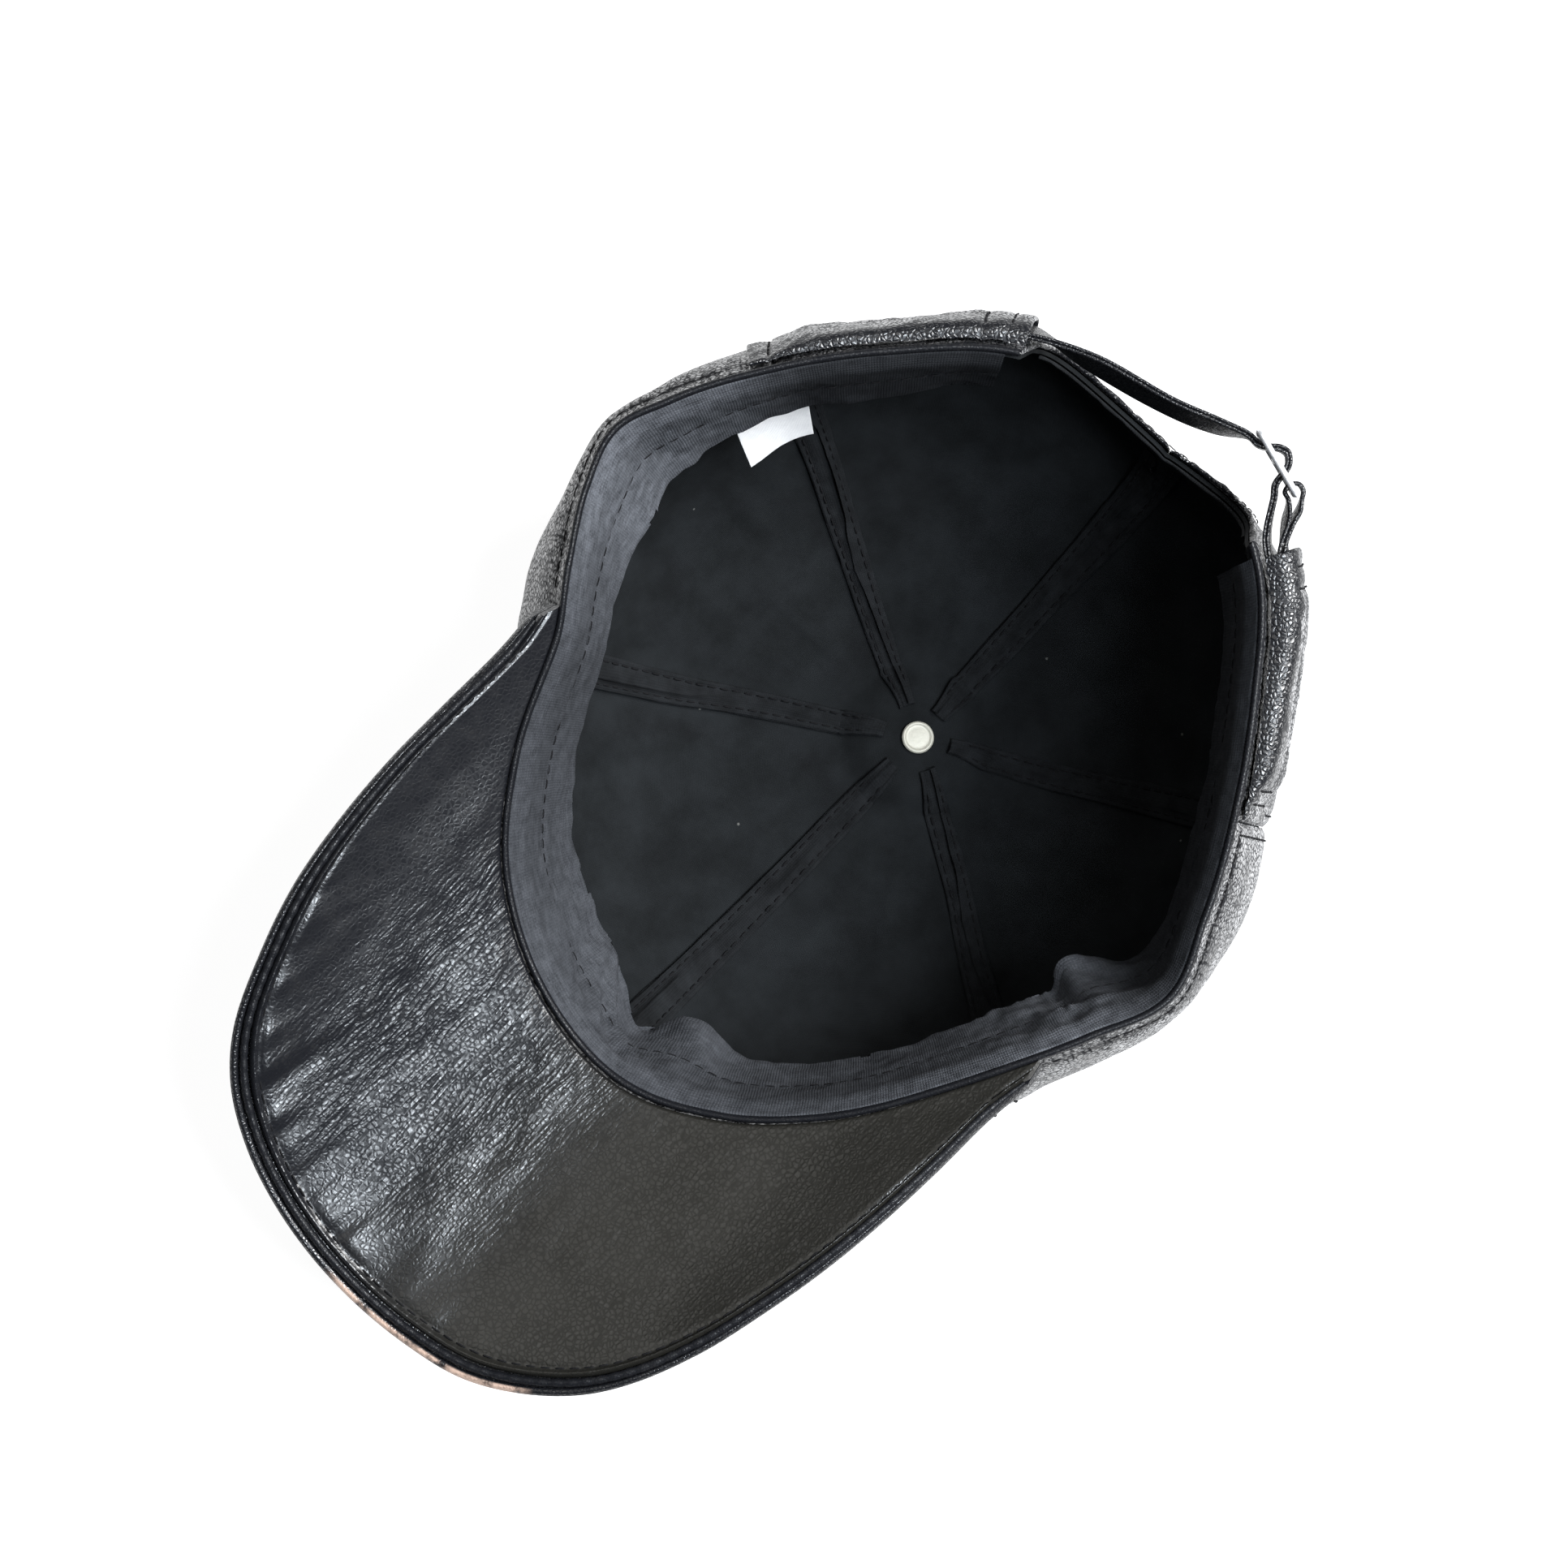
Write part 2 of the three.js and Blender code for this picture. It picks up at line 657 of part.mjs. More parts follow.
function peakPlace(u, v) {
  const edge = PEAK_EDGE.getPointAt(clamp01(u));
  const angle = mix(PEAK_ROOT_LEFT, PEAK_ROOT_RIGHT, clamp01(u));
  const reach = rimReach(angle) + ROOT_CLEAR;
  const x = mix(reach * Math.cos(radians(angle)), edge.x, v);
  const y = mix(reach * Math.sin(radians(angle)), edge.y, v);
  return lay(plan(x, y, peakLevel(x, y)));
}

const PEAK_ROWS = [0, 0.14, 0.3, 0.46, 0.62, 0.78, 0.9, 0.97, 1];
const rolled = (v) => Math.sqrt(1 - 0.75 * smooth((v - 0.9) / 0.1));
const PEAK_FACES = [
  { name: 'peak_lower', near: 0.15, colour: 0x23252b },
  { name: 'peak_upper', near: -0.15, colour: 0x1d1e22 },
];
for (const skin of PEAK_FACES) {
  const far = skin.near + Math.sign(skin.near) * PEAK_SKIN;
  add(
    slab({
      name: skin.name,
      at: peakPlace,
      columns: steps(24).map((u) => mix(0.004, 0.996, u)),
      rows: PEAK_ROWS,
      low: (u, v) => skin.near * rolled(v),
      high: (u, v) => far * rolled(v),
      colour: skin.colour,
      roughness: 0.5,
    })
  );
}

// Sleeves: leather tunnels outside the rim, on both sides of the back opening
const SLEEVE_ROWS = [0, 0.06, 0.16, 0.35, 0.65, 0.84, 0.94, 1];
const SLEEVE_RUN = [0, 0.07, 0.16, 0.3, 0.5, 0.75, 1];

function sleeve(name, mouth, end, room) {
  const [from, to] = [Math.min(mouth, end), Math.max(mouth, end)];
  const profile = (v) => Math.sqrt(1 - (2 * v - 1) ** 8);
  const stand = (u, v) => {
    const run = Math.abs(mix(from, to, u) - end) / (to - from);
    return 2 * GAP + room * profile(v) * smooth(run / 0.25) * mix(SLEEVE_NARROWING, 1, run);
  };
  const depth = tAtDepth(SLEEVE_HEIGHT);
  return slab({
    name,
    at: (u, v) => lay(crownPoint(mix(from, to, u), mix(0.003, depth, v))),
    columns: mouth > end ? SLEEVE_RUN : SLEEVE_RUN.map((u) => 1 - u).reverse(),
    rows: SLEEVE_ROWS,
    low: stand,
    high: (u, v) => stand(u, v) + LEATHER,
    colour: PANEL_LEATHER,
    roughness: 0.45,
  });
}

add(sleeve('sleeve_left', ARCH_LEFT, SLEEVE_LEFT_END, SLEEVE_ROOM_LEFT));
add(sleeve('sleeve_right', SLEEVE_RIGHT_MOUTH, SLEEVE_RIGHT_END, SLEEVE_ROOM_RIGHT));

// A ribbon on its edge: a slab between an upper and a lower line with the same knots.
function ribbon({ name, path, thickness, count, colour, roughness }) {
  const lines = [0, 1].map(
    (k) => new THREE.CatmullRomCurve3(path.map((pair) => pair[k]), false, 'centripetal')
  );
  return slab({
    name,
    at: (u, v) => {
      const [upper, lower] = lines.map((line) => line.getPoint(clamp01(u)));
      return lay(upper.lerp(lower, v));
    },
    columns: steps(count),
    rows: steps(1),
    low: -thickness / 2,
    high: thickness / 2,
    colour,
    roughness,
  });
}

// A pair of knots outside the panel at an angle round the rim, a width apart in depth.
function besidePanel(angle, away, width) {
  const out = plan(Math.cos(radians(angle)), Math.sin(radians(angle)));
  return [-0.5, 0.5].map((side) => {
    const p = crownPoint(angle, tAtDepth(STRAP_DEPTH + side * width));
    return p.addScaledVector(out, away);
  });
}

// A pair of knots at a place in plan, given as shares of FRONT_REACH; the lower one leans in.
function upright(x, y, width, lean = 0) {
  const at = plan(x, y).multiplyScalar(FRONT_REACH);
  const inward = plan(-x, -y).normalize();
  const level = CROWN_DEPTH - STRAP_DEPTH;
  return [
    at.clone().setZ(level + width / 2),
    at.clone().addScaledVector(inward, lean).setZ(level - width / 2),
  ];
}

// Knots near the buckle: along its length, and out from its middle plane.
const BUCKLE_ALONG = new THREE.Vector2(Math.cos(BUCKLE_TURN), Math.sin(BUCKLE_TURN));
const BUCKLE_OUT = new THREE.Vector2(-BUCKLE_ALONG.y, BUCKLE_ALONG.x);
function besideBuckle(along, out, width) {
  return [0.5, -0.5].map((side) => {
    const away = out - side * width * Math.tan(BUCKLE_LEAN);
    const x = BUCKLE_START.x + BUCKLE_ALONG.x * along + BUCKLE_OUT.x * away;
    const y = BUCKLE_START.y + BUCKLE_ALONG.y * along + BUCKLE_OUT.y * away;
    return plan(x, y, CROWN_DEPTH - STRAP_DEPTH + side * width);
  });
}

const WALL_BOW = 0.8; // the panel bows out this much between the strap's edges
const STRAP_HALF = STRAP_THICKNESS / 2;
const STRAP_OFF = BUCKLE_PLATE / 2 + GAP + STRAP_HALF;
const STRAP_BESIDE = GAP + WALL_BOW + STRAP_HALF;
const onStrap = (place, ...values) => place(...values, STRAP_WIDTH);
add(
  ribbon({
    name: 'strap',
    path: [
      onStrap(besidePanel, 131, STRAP_BESIDE),
      onStrap(besidePanel, 125, STRAP_BESIDE),
      onStrap(besidePanel, 119, STRAP_BESIDE),
      onStrap(besidePanel, 114.5, STRAP_BESIDE + 0.8),
      upright(-0.246, 0.958, STRAP_WIDTH, 1),
      upright(-0.041, 1.011, STRAP_WIDTH, 1.2),
      upright(0.072, 1.052, STRAP_WIDTH, 0.8),
      onStrap(besideBuckle, 0.6, -STRAP_OFF - 0.3),
      onStrap(besideBuckle, 3.1, -STRAP_OFF + 0.4),
      onStrap(besideBuckle, 4.6, 0),
      onStrap(besideBuckle, 6.2, STRAP_OFF + 0.3),
      onStrap(besideBuckle, BUCKLE_BAR_AT + 0.3, STRAP_OFF + 1.2),
      onStrap(besideBuckle, 10.2, STRAP_OFF + 0.2),
      onStrap(besideBuckle, 11.5, 0),
      onStrap(besideBuckle, 12.7, -STRAP_OFF - 0.8),
      onStrap(besideBuckle, 15, -STRAP_OFF - TAB_THICKNESS - GAP - 1.2),
      onStrap(besidePanel, 71, STRAP_BESIDE + 0.2),
      onStrap(besidePanel, 64, STRAP_BESIDE + 0.1),
      onStrap(besidePanel, 58, STRAP_BESIDE),
    ],
    thickness: STRAP_THICKNESS,
    count: 80,
    colour: 0x1a1b1f,
    roughness: 0.45,
  })
);

// Buckle tab: folded round the frame's right end, both layers held in the right sleeve
const TAB_OFF = BUCKLE_PLATE / 2 + GAP + TAB_THICKNESS / 2;
const TAB_LAYER = STRAP_BESIDE + STRAP_HALF + GAP + TAB_THICKNESS / 2;
const BUCKLE_BAY = BUCKLE_LENGTH - BUCKLE_BORDER;
const onTab = (place, ...values) => place(...values, TAB_WIDTH);
add(
  ribbon({
    name: 'buckle_tab',
    path: [
      onTab(besidePanel, 64, TAB_LAYER + TAB_THICKNESS + GAP + 0.3),
      onTab(besidePanel, 68.5, TAB_LAYER + TAB_THICKNESS + GAP + 0.5),
      upright(0.343, 0.991, TAB_WIDTH),
      upright(0.334, 1.023, TAB_WIDTH),
      onTab(besideBuckle, BUCKLE_LENGTH + 0.9, TAB_OFF - 0.9),
      onTab(besideBuckle, BUCKLE_LENGTH - 0.6, TAB_OFF + 0.3),
      onTab(besideBuckle, BUCKLE_BAY - 0.3, TAB_OFF + 0.15),
      onTab(besideBuckle, BUCKLE_BAY - GAP - TAB_THICKNESS / 2 - 0.3, 0),
      onTab(besideBuckle, BUCKLE_BAY - 0.3, -TAB_OFF - 0.15),
      onTab(besideBuckle, BUCKLE_LENGTH - 0.4, -TAB_OFF - 0.4),
      upright(0.326, 0.996, TAB_WIDTH),
      onTab(besidePanel, 68.5, TAB_LAYER + 0.45),
      onTab(besidePanel, 64, TAB_LAYER + 0.2),
    ],
    thickness: TAB_THICKNESS,
    count: 45,
    colour: 0x1d1e22,
    roughness: 0.45,
  })
);

// Buckle
function roundedRectangle(shape, x, y, width, height, radius) {
  shape.moveTo(x + radius, y);
  shape.lineTo(x + width - radius, y);
  shape.absarc(x + width - radius, y + radius, radius, -Math.PI / 2, 0, false);
  shape.lineTo(x + width, y + height - radius);
  shape.absarc(x + width - radius, y + height - radius, radius, 0, Math.PI / 2, false);
  shape.lineTo(x + radius, y + height);
  shape.absarc(x + radius, y + height - radius, radius, Math.PI / 2, Math.PI, false);
  shape.lineTo(x, y + radius);
  shape.absarc(x + radius, y + radius, radius, Math.PI, 1.5 * Math.PI, false);
  return shape;
}

const frame = roundedRectangle(new THREE.Shape(), 0, 0, BUCKLE_LENGTH, BUCKLE_HEIGHT, 2.4);
const bayHeight = BUCKLE_HEIGHT - 2 * BUCKLE_BORDER;
const bays = [
  [BUCKLE_BORDER, BUCKLE_BAR_AT - BUCKLE_BAR / 2],
  [BUCKLE_BAR_AT + BUCKLE_BAR / 2, BUCKLE_BAY],
];
for (const [start, end] of bays) {
  const hole = roundedRectangle(new THREE.Path(), start, BUCKLE_BORDER, end - start, bayHeight, 0.8);
  frame.holes.push(hole);
}
let buckle = new THREE.ExtrudeGeometry(frame, {
  depth: BUCKLE_PLATE,
  bevelEnabled: false,
  curveSegments: 4,
});
buckle.deleteAttribute('normal');
buckle.deleteAttribute('uv');
buckle = mergeVertices(buckle, 1e-4);
buckle.translate(0, -BUCKLE_HEIGHT / 2, -BUCKLE_PLATE / 2);
buckle.rotateX(Math.PI / 2 + BUCKLE_LEAN);
buckle.rotateZ(BUCKLE_TURN);
buckle.translate(BUCKLE_START.x, BUCKLE_START.y, CROWN_DEPTH - STRAP_DEPTH);
buckle.rotateX(FORWARD_TILT);
buckle.translate(0, 0, -LOWERING);
add(finished('buckle', buckle, 0xb9bcc2, 0.25, 1));

// Covered button under the crown's top, and the rivet that holds it from inside
function turned(name, profile, colour, roughness, metalness) {
  const points = profile.map(([radius, level]) => new THREE.Vector2(radius, level));
  let geometry = new THREE.LatheGeometry(points, 24);
  geometry.deleteAttribute('normal');
  geometry.deleteAttribute('uv');
  geometry = mergeVertices(geometry, 1e-4);
  geometry.rotateX(Math.PI / 2);
  geometry.translate(TOP.x, TOP.y, 0);
  const triangles = Array.from(geometry.index.array);
  const real = [];
  for (let i = 0; i < triangles.length; i += 3) {
    const [a, b, c] = triangles.slice(i, i + 3);
    if (a !== b && b !== c && a !== c) {
      real.push(a, b, c);
    }
  }
  const positions = Array.from(geometry.attributes.position.array);
  return closedMesh(name, positions, real, colour, roughness, metalness);
}

add(
  turned(
    'button_cover',
    [
      [0, 0],
      [BUTTON_RADIUS * 0.8, 0],
      [BUTTON_RADIUS * 0.94, BUTTON_HEIGHT * 0.12],
      [BUTTON_RADIUS, BUTTON_HEIGHT * 0.4],
      [BUTTON_RADIUS, BUTTON_HEIGHT * 0.75],
      [BUTTON_RADIUS * 0.95, BUTTON_HEIGHT],
      [0, BUTTON_HEIGHT],
    ],
    PANEL_LEATHER,
    0.45,
    0
  )
);

const SHANK_LOW = BUTTON_HEIGHT + GAP;
const RIVET_LOW = SHANK_LOW + LINING_TOP + LINING + GAP;
add(
  turned(
    'button_rivet',
    [
      [0, SHANK_LOW],
      [SHANK_RADIUS, SHANK_LOW],
      [SHANK_RADIUS, RIVET_LOW],
      [RIVET_RADIUS, RIVET_LOW],
      [RIVET_RADIUS, RIVET_LOW + RIVET_HEIGHT * 0.5],
      [RIVET_RADIUS * 0.88, RIVET_LOW + RIVET_HEIGHT],
      [RIVET_RADIUS * 0.7, RIVET_LOW + RIVET_HEIGHT * 0.8],
      [0, RIVET_LOW + RIVET_HEIGHT * 0.85],
    ],
    0xd9d5c8,
    0.35,
    0.6
  )
);

// Care label: sewn behind the sweatband's free edge, it hangs on in the band's own line
const LABEL_HELD = 5.5; // how much of it lies behind the band
add(
  slab({
    name: 'care_label',
    at: (u, v) => {
      const turn = THREE.MathUtils.radToDeg(LABEL_WIDTH / rimReach(LABEL_ANGLE));
      const angle = LABEL_ANGLE + (u - 0.5) * turn;
      const free = LABEL_LENGTH * v - LABEL_HELD;
      const further = LABEL_LEAN * Math.max(0, free / (LABEL_LENGTH - LABEL_HELD)) ** 1.5;
      return bandPlace((angle - BAND_FROM) / (BAND_TO - BAND_FROM), 1 + free / BAND_WIDTH, further);
    },
    columns: steps(5),
    rows: [0, LABEL_HELD / LABEL_LENGTH, 0.45, 0.7, 1],
    low: GAP,
    high: GAP + LABEL_THICKNESS,
    colour: 0xe6e6e4,
    roughness: 0.8,
  })
);

// The frame's origin: under the middle of the whole cap, on the floor
const box = new THREE.Box3().setFromObject(group);
for (const mesh of group.children) {
  mesh.geometry.translate(-(box.min.x + box.max.x) / 2, -(box.min.y + box.max.y) / 2, -box.min.z);
}

export default group;
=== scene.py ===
# %% [markdown]
# # A leather baseball cap lying on its crown
#
# The cap lies upside down, so the picture looks into its hollow: a cloth lining between stitched
# seam tapes, a slate sweatband, a rolled leather hem, the underside of the peak, and a buckled
# strap at the back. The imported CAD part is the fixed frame. Every piece below is a finer mesh of
# the same shape, in the same place, that stands for one of its solids.

# %% Load the frame
import math

import bpy
import numpy as np
from mathutils import Matrix, Vector


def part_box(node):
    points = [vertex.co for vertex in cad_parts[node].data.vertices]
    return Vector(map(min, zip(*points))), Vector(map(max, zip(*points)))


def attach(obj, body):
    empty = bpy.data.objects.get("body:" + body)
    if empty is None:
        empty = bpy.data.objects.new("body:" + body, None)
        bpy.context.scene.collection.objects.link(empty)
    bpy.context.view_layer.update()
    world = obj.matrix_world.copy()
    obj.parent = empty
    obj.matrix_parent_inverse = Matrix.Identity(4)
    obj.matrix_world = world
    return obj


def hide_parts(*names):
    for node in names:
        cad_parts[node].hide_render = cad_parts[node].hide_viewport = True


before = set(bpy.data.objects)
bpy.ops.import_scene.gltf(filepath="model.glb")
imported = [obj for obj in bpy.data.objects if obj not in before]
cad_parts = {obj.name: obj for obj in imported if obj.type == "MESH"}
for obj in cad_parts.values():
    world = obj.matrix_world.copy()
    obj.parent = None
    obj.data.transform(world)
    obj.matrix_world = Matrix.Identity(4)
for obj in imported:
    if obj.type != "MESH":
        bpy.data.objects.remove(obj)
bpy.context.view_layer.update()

# %% [markdown]
# ## Small tools for numbers
#
# A cap has no straight edge, so its shape is worked out with numpy, on whole grids of places at a
# time. Lengths are in millimetres up to the moment when a mesh is made, because a sewing pattern
# is. The noise is seeded, so each run gives the same folds.

# %% Numbers
def mix(a, b, share):
    return a + (b - a) * share


def smooth(x):
    x = np.clip(x, 0, 1)
    return x * x * (3 - 2 * x)


def bell(x, spread):
    return np.exp(-0.5 * (x / spread) ** 2)


def turn_between(a, b):
    return (a - b + 180) % 360 - 180


def unit(v):
    return v / np.maximum(np.linalg.norm(v, axis=-1, keepdims=True), 1e-12)


def spots(x, y, z):
    """Places from coordinates that may be grids of different shapes."""
    return np.stack(np.broadcast_arrays(x, y, z), axis=-1).astype(float)


def cloud(x, y, seed):
    """Smooth seeded noise from -1 to 1 with about one bump to each unit of x and y."""
    size = 64
    table = np.random.default_rng(seed).uniform(-1, 1, (size, size))
    x, y = np.broadcast_arrays(x, y)
    i, j = np.floor(x).astype(int), np.floor(y).astype(int)
    right, up = smooth(x - i), smooth(y - j)
    low = mix(table[i % size, j % size], table[(i + 1) % size, j % size], right)
    high = mix(table[i % size, (j + 1) % size], table[(i + 1) % size, (j + 1) % size], right)
    return mix(low, high, up)


def through(knots, share):
    """Points on a smooth curve through knots; share runs from 0 to 1, evenly over the knots."""
    knots = np.asarray(knots, float)
    padded = np.vstack([2 * knots[0] - knots[1], knots, 2 * knots[-1] - knots[-2]])
    place = np.clip(share, 0, 1) * (len(knots) - 1)
    i = np.minimum(place.astype(int), len(knots) - 2)
    s = (place - i)[..., None]
    a, b, c, d = (padded[i + k] for k in range(4))
    ab, bc, cd = (np.sqrt(np.linalg.norm(q - p, axis=-1, keepdims=True)) for p, q in ((a, b), (b, c), (c, d)))
    leave = ((b - a) / ab - (c - a) / (ab + bc) + (c - b) / bc) * bc
    arrive = ((c - b) / bc - (d - b) / (bc + cd) + (d - c) / cd) * bc
    bend = -3 * b + 3 * c - 2 * leave - arrive
    twist = 2 * b - 2 * c + leave + arrive
    return b + leave * s + bend * s**2 + twist * s**3


def measured(points):
    """The share of the whole length at each point of a line, and that length."""
    steps = np.linalg.norm(np.diff(points, axis=0), axis=1)
    run = np.concatenate([[0], np.cumsum(steps)])
    return run / run[-1], run[-1]


print("a bell falls to", round(float(bell(1, 1)), 3), "of its height one spread away")

# %% [markdown]
# ## The cap's own measures
#
# These are the driving sizes of the CAD part, in the cap's own frame: the rim lies level, the
# hollow looks up and the peak points to -Y. Each is written once, and all that follows is worked
# out from them.

# %% Driving sizes
FRONT_REACH = 97.5  # from the middle of the rim to the middle of its front
CROWN_DEPTH = 114  # from the rim's plane to the top button
SIDE_ROUND = 0.885
TOP_SHIFT = (6.7, 6.2)
FORWARD_TILT = math.radians(10)
PRESSED = 7
PRESS_BLEND = 3
HOLE_RADIUS = 3
PUFF = 1.5

LEATHER = 1.2
LINING = 0.9
TAPE = 0.8
BAND = 1.5
GAP = 0.35

BAND_WIDTH = 33
BAND_LEAN = 8.5
BAND_RISE = 1.4
HEM_WIDTH = 2.8
HEM_HEIGHT = 2.4
TAPE_WIDTH_RIM = 11.5
TAPE_WIDTH_TOP = 6.2

PEAK_HALF_WIDTH = 75.5
PEAK_LENGTH = 74
PEAK_SKIN = 1.85
PEAK_DIP = 14
PEAK_SLOPE = 0.15
PEAK_ROOT = (200.5, 339.5)
ROOT_SETBACK = 6
ROOT_FLARE = 1.5

ARCH_LEFT = 113.6
ARCH_RIGHT = 71.8
ARCH_HEIGHT = 44
SLEEVE_HEIGHT = 22.5
STRAP_WIDTH = 16
STRAP_THICKNESS = 1.6
STRAP_DEPTH = 10.5
TAB_WIDTH = 13.5
TAB_THICKNESS = 1

BUCKLE_LENGTH = 17.6
BUCKLE_HEIGHT = 22.5
BUCKLE_PLATE = 1.5
BUCKLE_BORDER = 2.1
BUCKLE_BAR = 1.8
BUCKLE_BAR_AT = 7.9
BUCKLE_START = np.array([0.135, 1.102]) * FRONT_REACH
BUCKLE_TURN = math.radians(-16.5)
BUCKLE_LEAN = math.radians(7)

BUTTON_RADIUS = 9
BUTTON_HEIGHT = 4.2
RIVET_RADIUS = 4.4
RIVET_HEIGHT = 1.2
SHANK_RADIUS = 1.6

LABEL_WIDTH = 19.5
LABEL_LENGTH = 22
LABEL_ANGLE = 152
LABEL_THICKNESS = 0.5
LABEL_HELD = 5.5
LABEL_LEAN = 4
print("the band is", BAND_WIDTH, "mm wide and the strap", STRAP_WIDTH, "mm")

# %% [markdown]
# ## Tables for the rim, the wall and the folds
#
# No rule gives the outline of a worn cap, so its rim is a table of reaches all round, its wall a
# table of the way from the rim down to the button, and its folds are the dents that soft leather
# keeps when it lies on a table. Sculpting would do too, but a table can be read and changed.

# %% Tables
RIM_ANGLE = np.array([
    1, 14, 32, 50, 68, 77, 92, 113, 132, 150, 166, 174.5,
    183, 194, 207, 226, 243, 262, 276, 290, 303, 320, 334, 348,
])
RIM_REACH = np.array([
    0.879, 0.837, 0.818, 0.85, 0.935, 0.953, 0.935, 0.933, 0.886, 0.883, 0.916, 0.938,
    0.894, 0.829, 0.788, 0.848, 0.925, 0.984, 0.998, 0.948, 0.887, 0.821, 0.804, 0.827,
])
WALL = np.array([  # out as a share of the reach, down as a share of CROWN_DEPTH
    [1, 0], [1.012, 0.03], [1.045, 0.1], [1.075, 0.22], [1.08, 0.36], [1.04, 0.53],
    [0.94, 0.69], [0.77, 0.83], [0.54, 0.93], [0.27, 0.985], [0, 1],
])
FOLDS = np.array([  # angle, spread, down, span, push in mm
    [172, 7, 0.3, 0.22, -1.5], [2, 8, 0.28, 0.22, -2.5], [93, 18, 0.4, 0.19, -11],
    [34, 16, 0.38, 0.2, -6], [48, 10, 0.14, 0.12, -2.8], [131, 11, 0.16, 0.14, -4],
    [338, 13, 0.34, 0.2, -5], [72, 14, 0.1, 0.12, -4],
    [214, 9, 0.42, 0.12, -5], [226, 7, 0.5, 0.1, 3], [197, 8, 0.52, 0.11, 1.5],
    [340, 10, 0.5, 0.13, -4], [48, 12, 0.55, 0.12, -3.5], [130, 10, 0.58, 0.12, -3],
    [270, 12, 0.4, 0.14, -2.5],
])
BAND_FOLDS = np.array([  # angle, spread, push in mm
    [178, 7, 4], [206, 10, -2], [258, 15, 5], [273, 3, -5], [281, 4, 6],
    [315, 16, -2], [146, 11, -5], [352, 3.5, 6], [348, 2, -3], [358, 3, 2],
])
PEAK_OUTLINE = np.array([  # across as a share of the half width, along as a share of the way to the tip
    [-0.99, 0.08], [-0.995, 0.2], [-0.998, 0.32], [-0.983, 0.45], [-0.95, 0.57], [-0.89, 0.68],
    [-0.797, 0.8], [-0.69, 0.873], [-0.54, 0.93], [-0.376, 0.968], [-0.192, 0.992], [0, 1],
    [0.192, 0.992], [0.375, 0.968], [0.522, 0.922], [0.655, 0.855], [0.745, 0.78], [0.827, 0.67],
    [0.875, 0.57], [0.917, 0.46], [0.947, 0.345], [0.967, 0.21], [0.976, 0.09],
])
print(len(RIM_ANGLE), "rim knots,", len(WALL), "wall knots,", len(FOLDS), "folds")

# %% [markdown]
# ## The crown as a function
#
# A place on the crown is an angle round the rim and a share t of the way from the rim to the top.
# A function of those two is better than a sculpted mesh here, because the leather, the lining and
# the tapes are all offsets of the same wall and so can never cut through each other.

# %% Rim, wall and peak levels
def rim_reach(angle):
    first = RIM_ANGLE[0]
    a = (angle - first) % 360 + first
    knots = np.concatenate([[RIM_ANGLE[-1] - 360], RIM_ANGLE, RIM_ANGLE[:2] + 360])
    reach = np.concatenate([[RIM_REACH[-1]], RIM_REACH, RIM_REACH[:2]])
    i = np.searchsorted(RIM_ANGLE, a, side="right")
    span = knots[i + 1] - knots[i]
    s = (a - knots[i]) / span
    leave = (reach[i + 1] - reach[i - 1]) / (knots[i + 1] - knots[i - 1]) * span
    arrive = (reach[i + 2] - reach[i]) / (knots[i + 2] - knots[i]) * span
    share = (2 * s**3 - 3 * s**2 + 1) * reach[i] + (s**3 - 2 * s**2 + s) * leave
    share = share + (3 * s**2 - 2 * s**3) * reach[i + 1] + (s**3 - s**2) * arrive
    return FRONT_REACH * share


ROOT_FRONT_Y = -float(rim_reach(np.array(270.0)))
ROOT_SIDE = float(rim_reach(np.array(PEAK_ROOT[1])))
ROOT_SIDE_X = ROOT_SIDE * math.cos(math.radians(PEAK_ROOT[1]))
ROOT_SIDE_Y = ROOT_SIDE * math.sin(math.radians(PEAK_ROOT[1]))
ARCH_RISE = PEAK_DIP + PEAK_SLOPE * (ROOT_SIDE_Y - ROOT_FRONT_Y)
TIP_Y = ROOT_FRONT_Y - PEAK_LENGTH


def peak_level(x, y):
    rise = ARCH_RISE * (x / ROOT_SIDE_X) ** 2 + PEAK_SLOPE * (ROOT_FRONT_Y - y)
    return CROWN_DEPTH - PEAK_DIP + rise


def rim_level(angle):
    """The rim lies level, but follows the peak's arch along its front."""
    reach, a = rim_reach(angle), np.radians(angle)
    x, y = reach * np.cos(a), reach * np.sin(a)
    drop = CROWN_DEPTH - peak_level(x, y)
    dip = 0.5 * (drop + np.hypot(drop, 1.2)) * smooth(-y / 30)
    return CROWN_DEPTH - np.where(y > 0, 0, dip)


wall_points = through(WALL * [FRONT_REACH, CROWN_DEPTH], np.linspace(0, 1, 6000))
wall_share, WALL_LENGTH = measured(wall_points)
TIP_T = 1 - HOLE_RADIUS / WALL_LENGTH


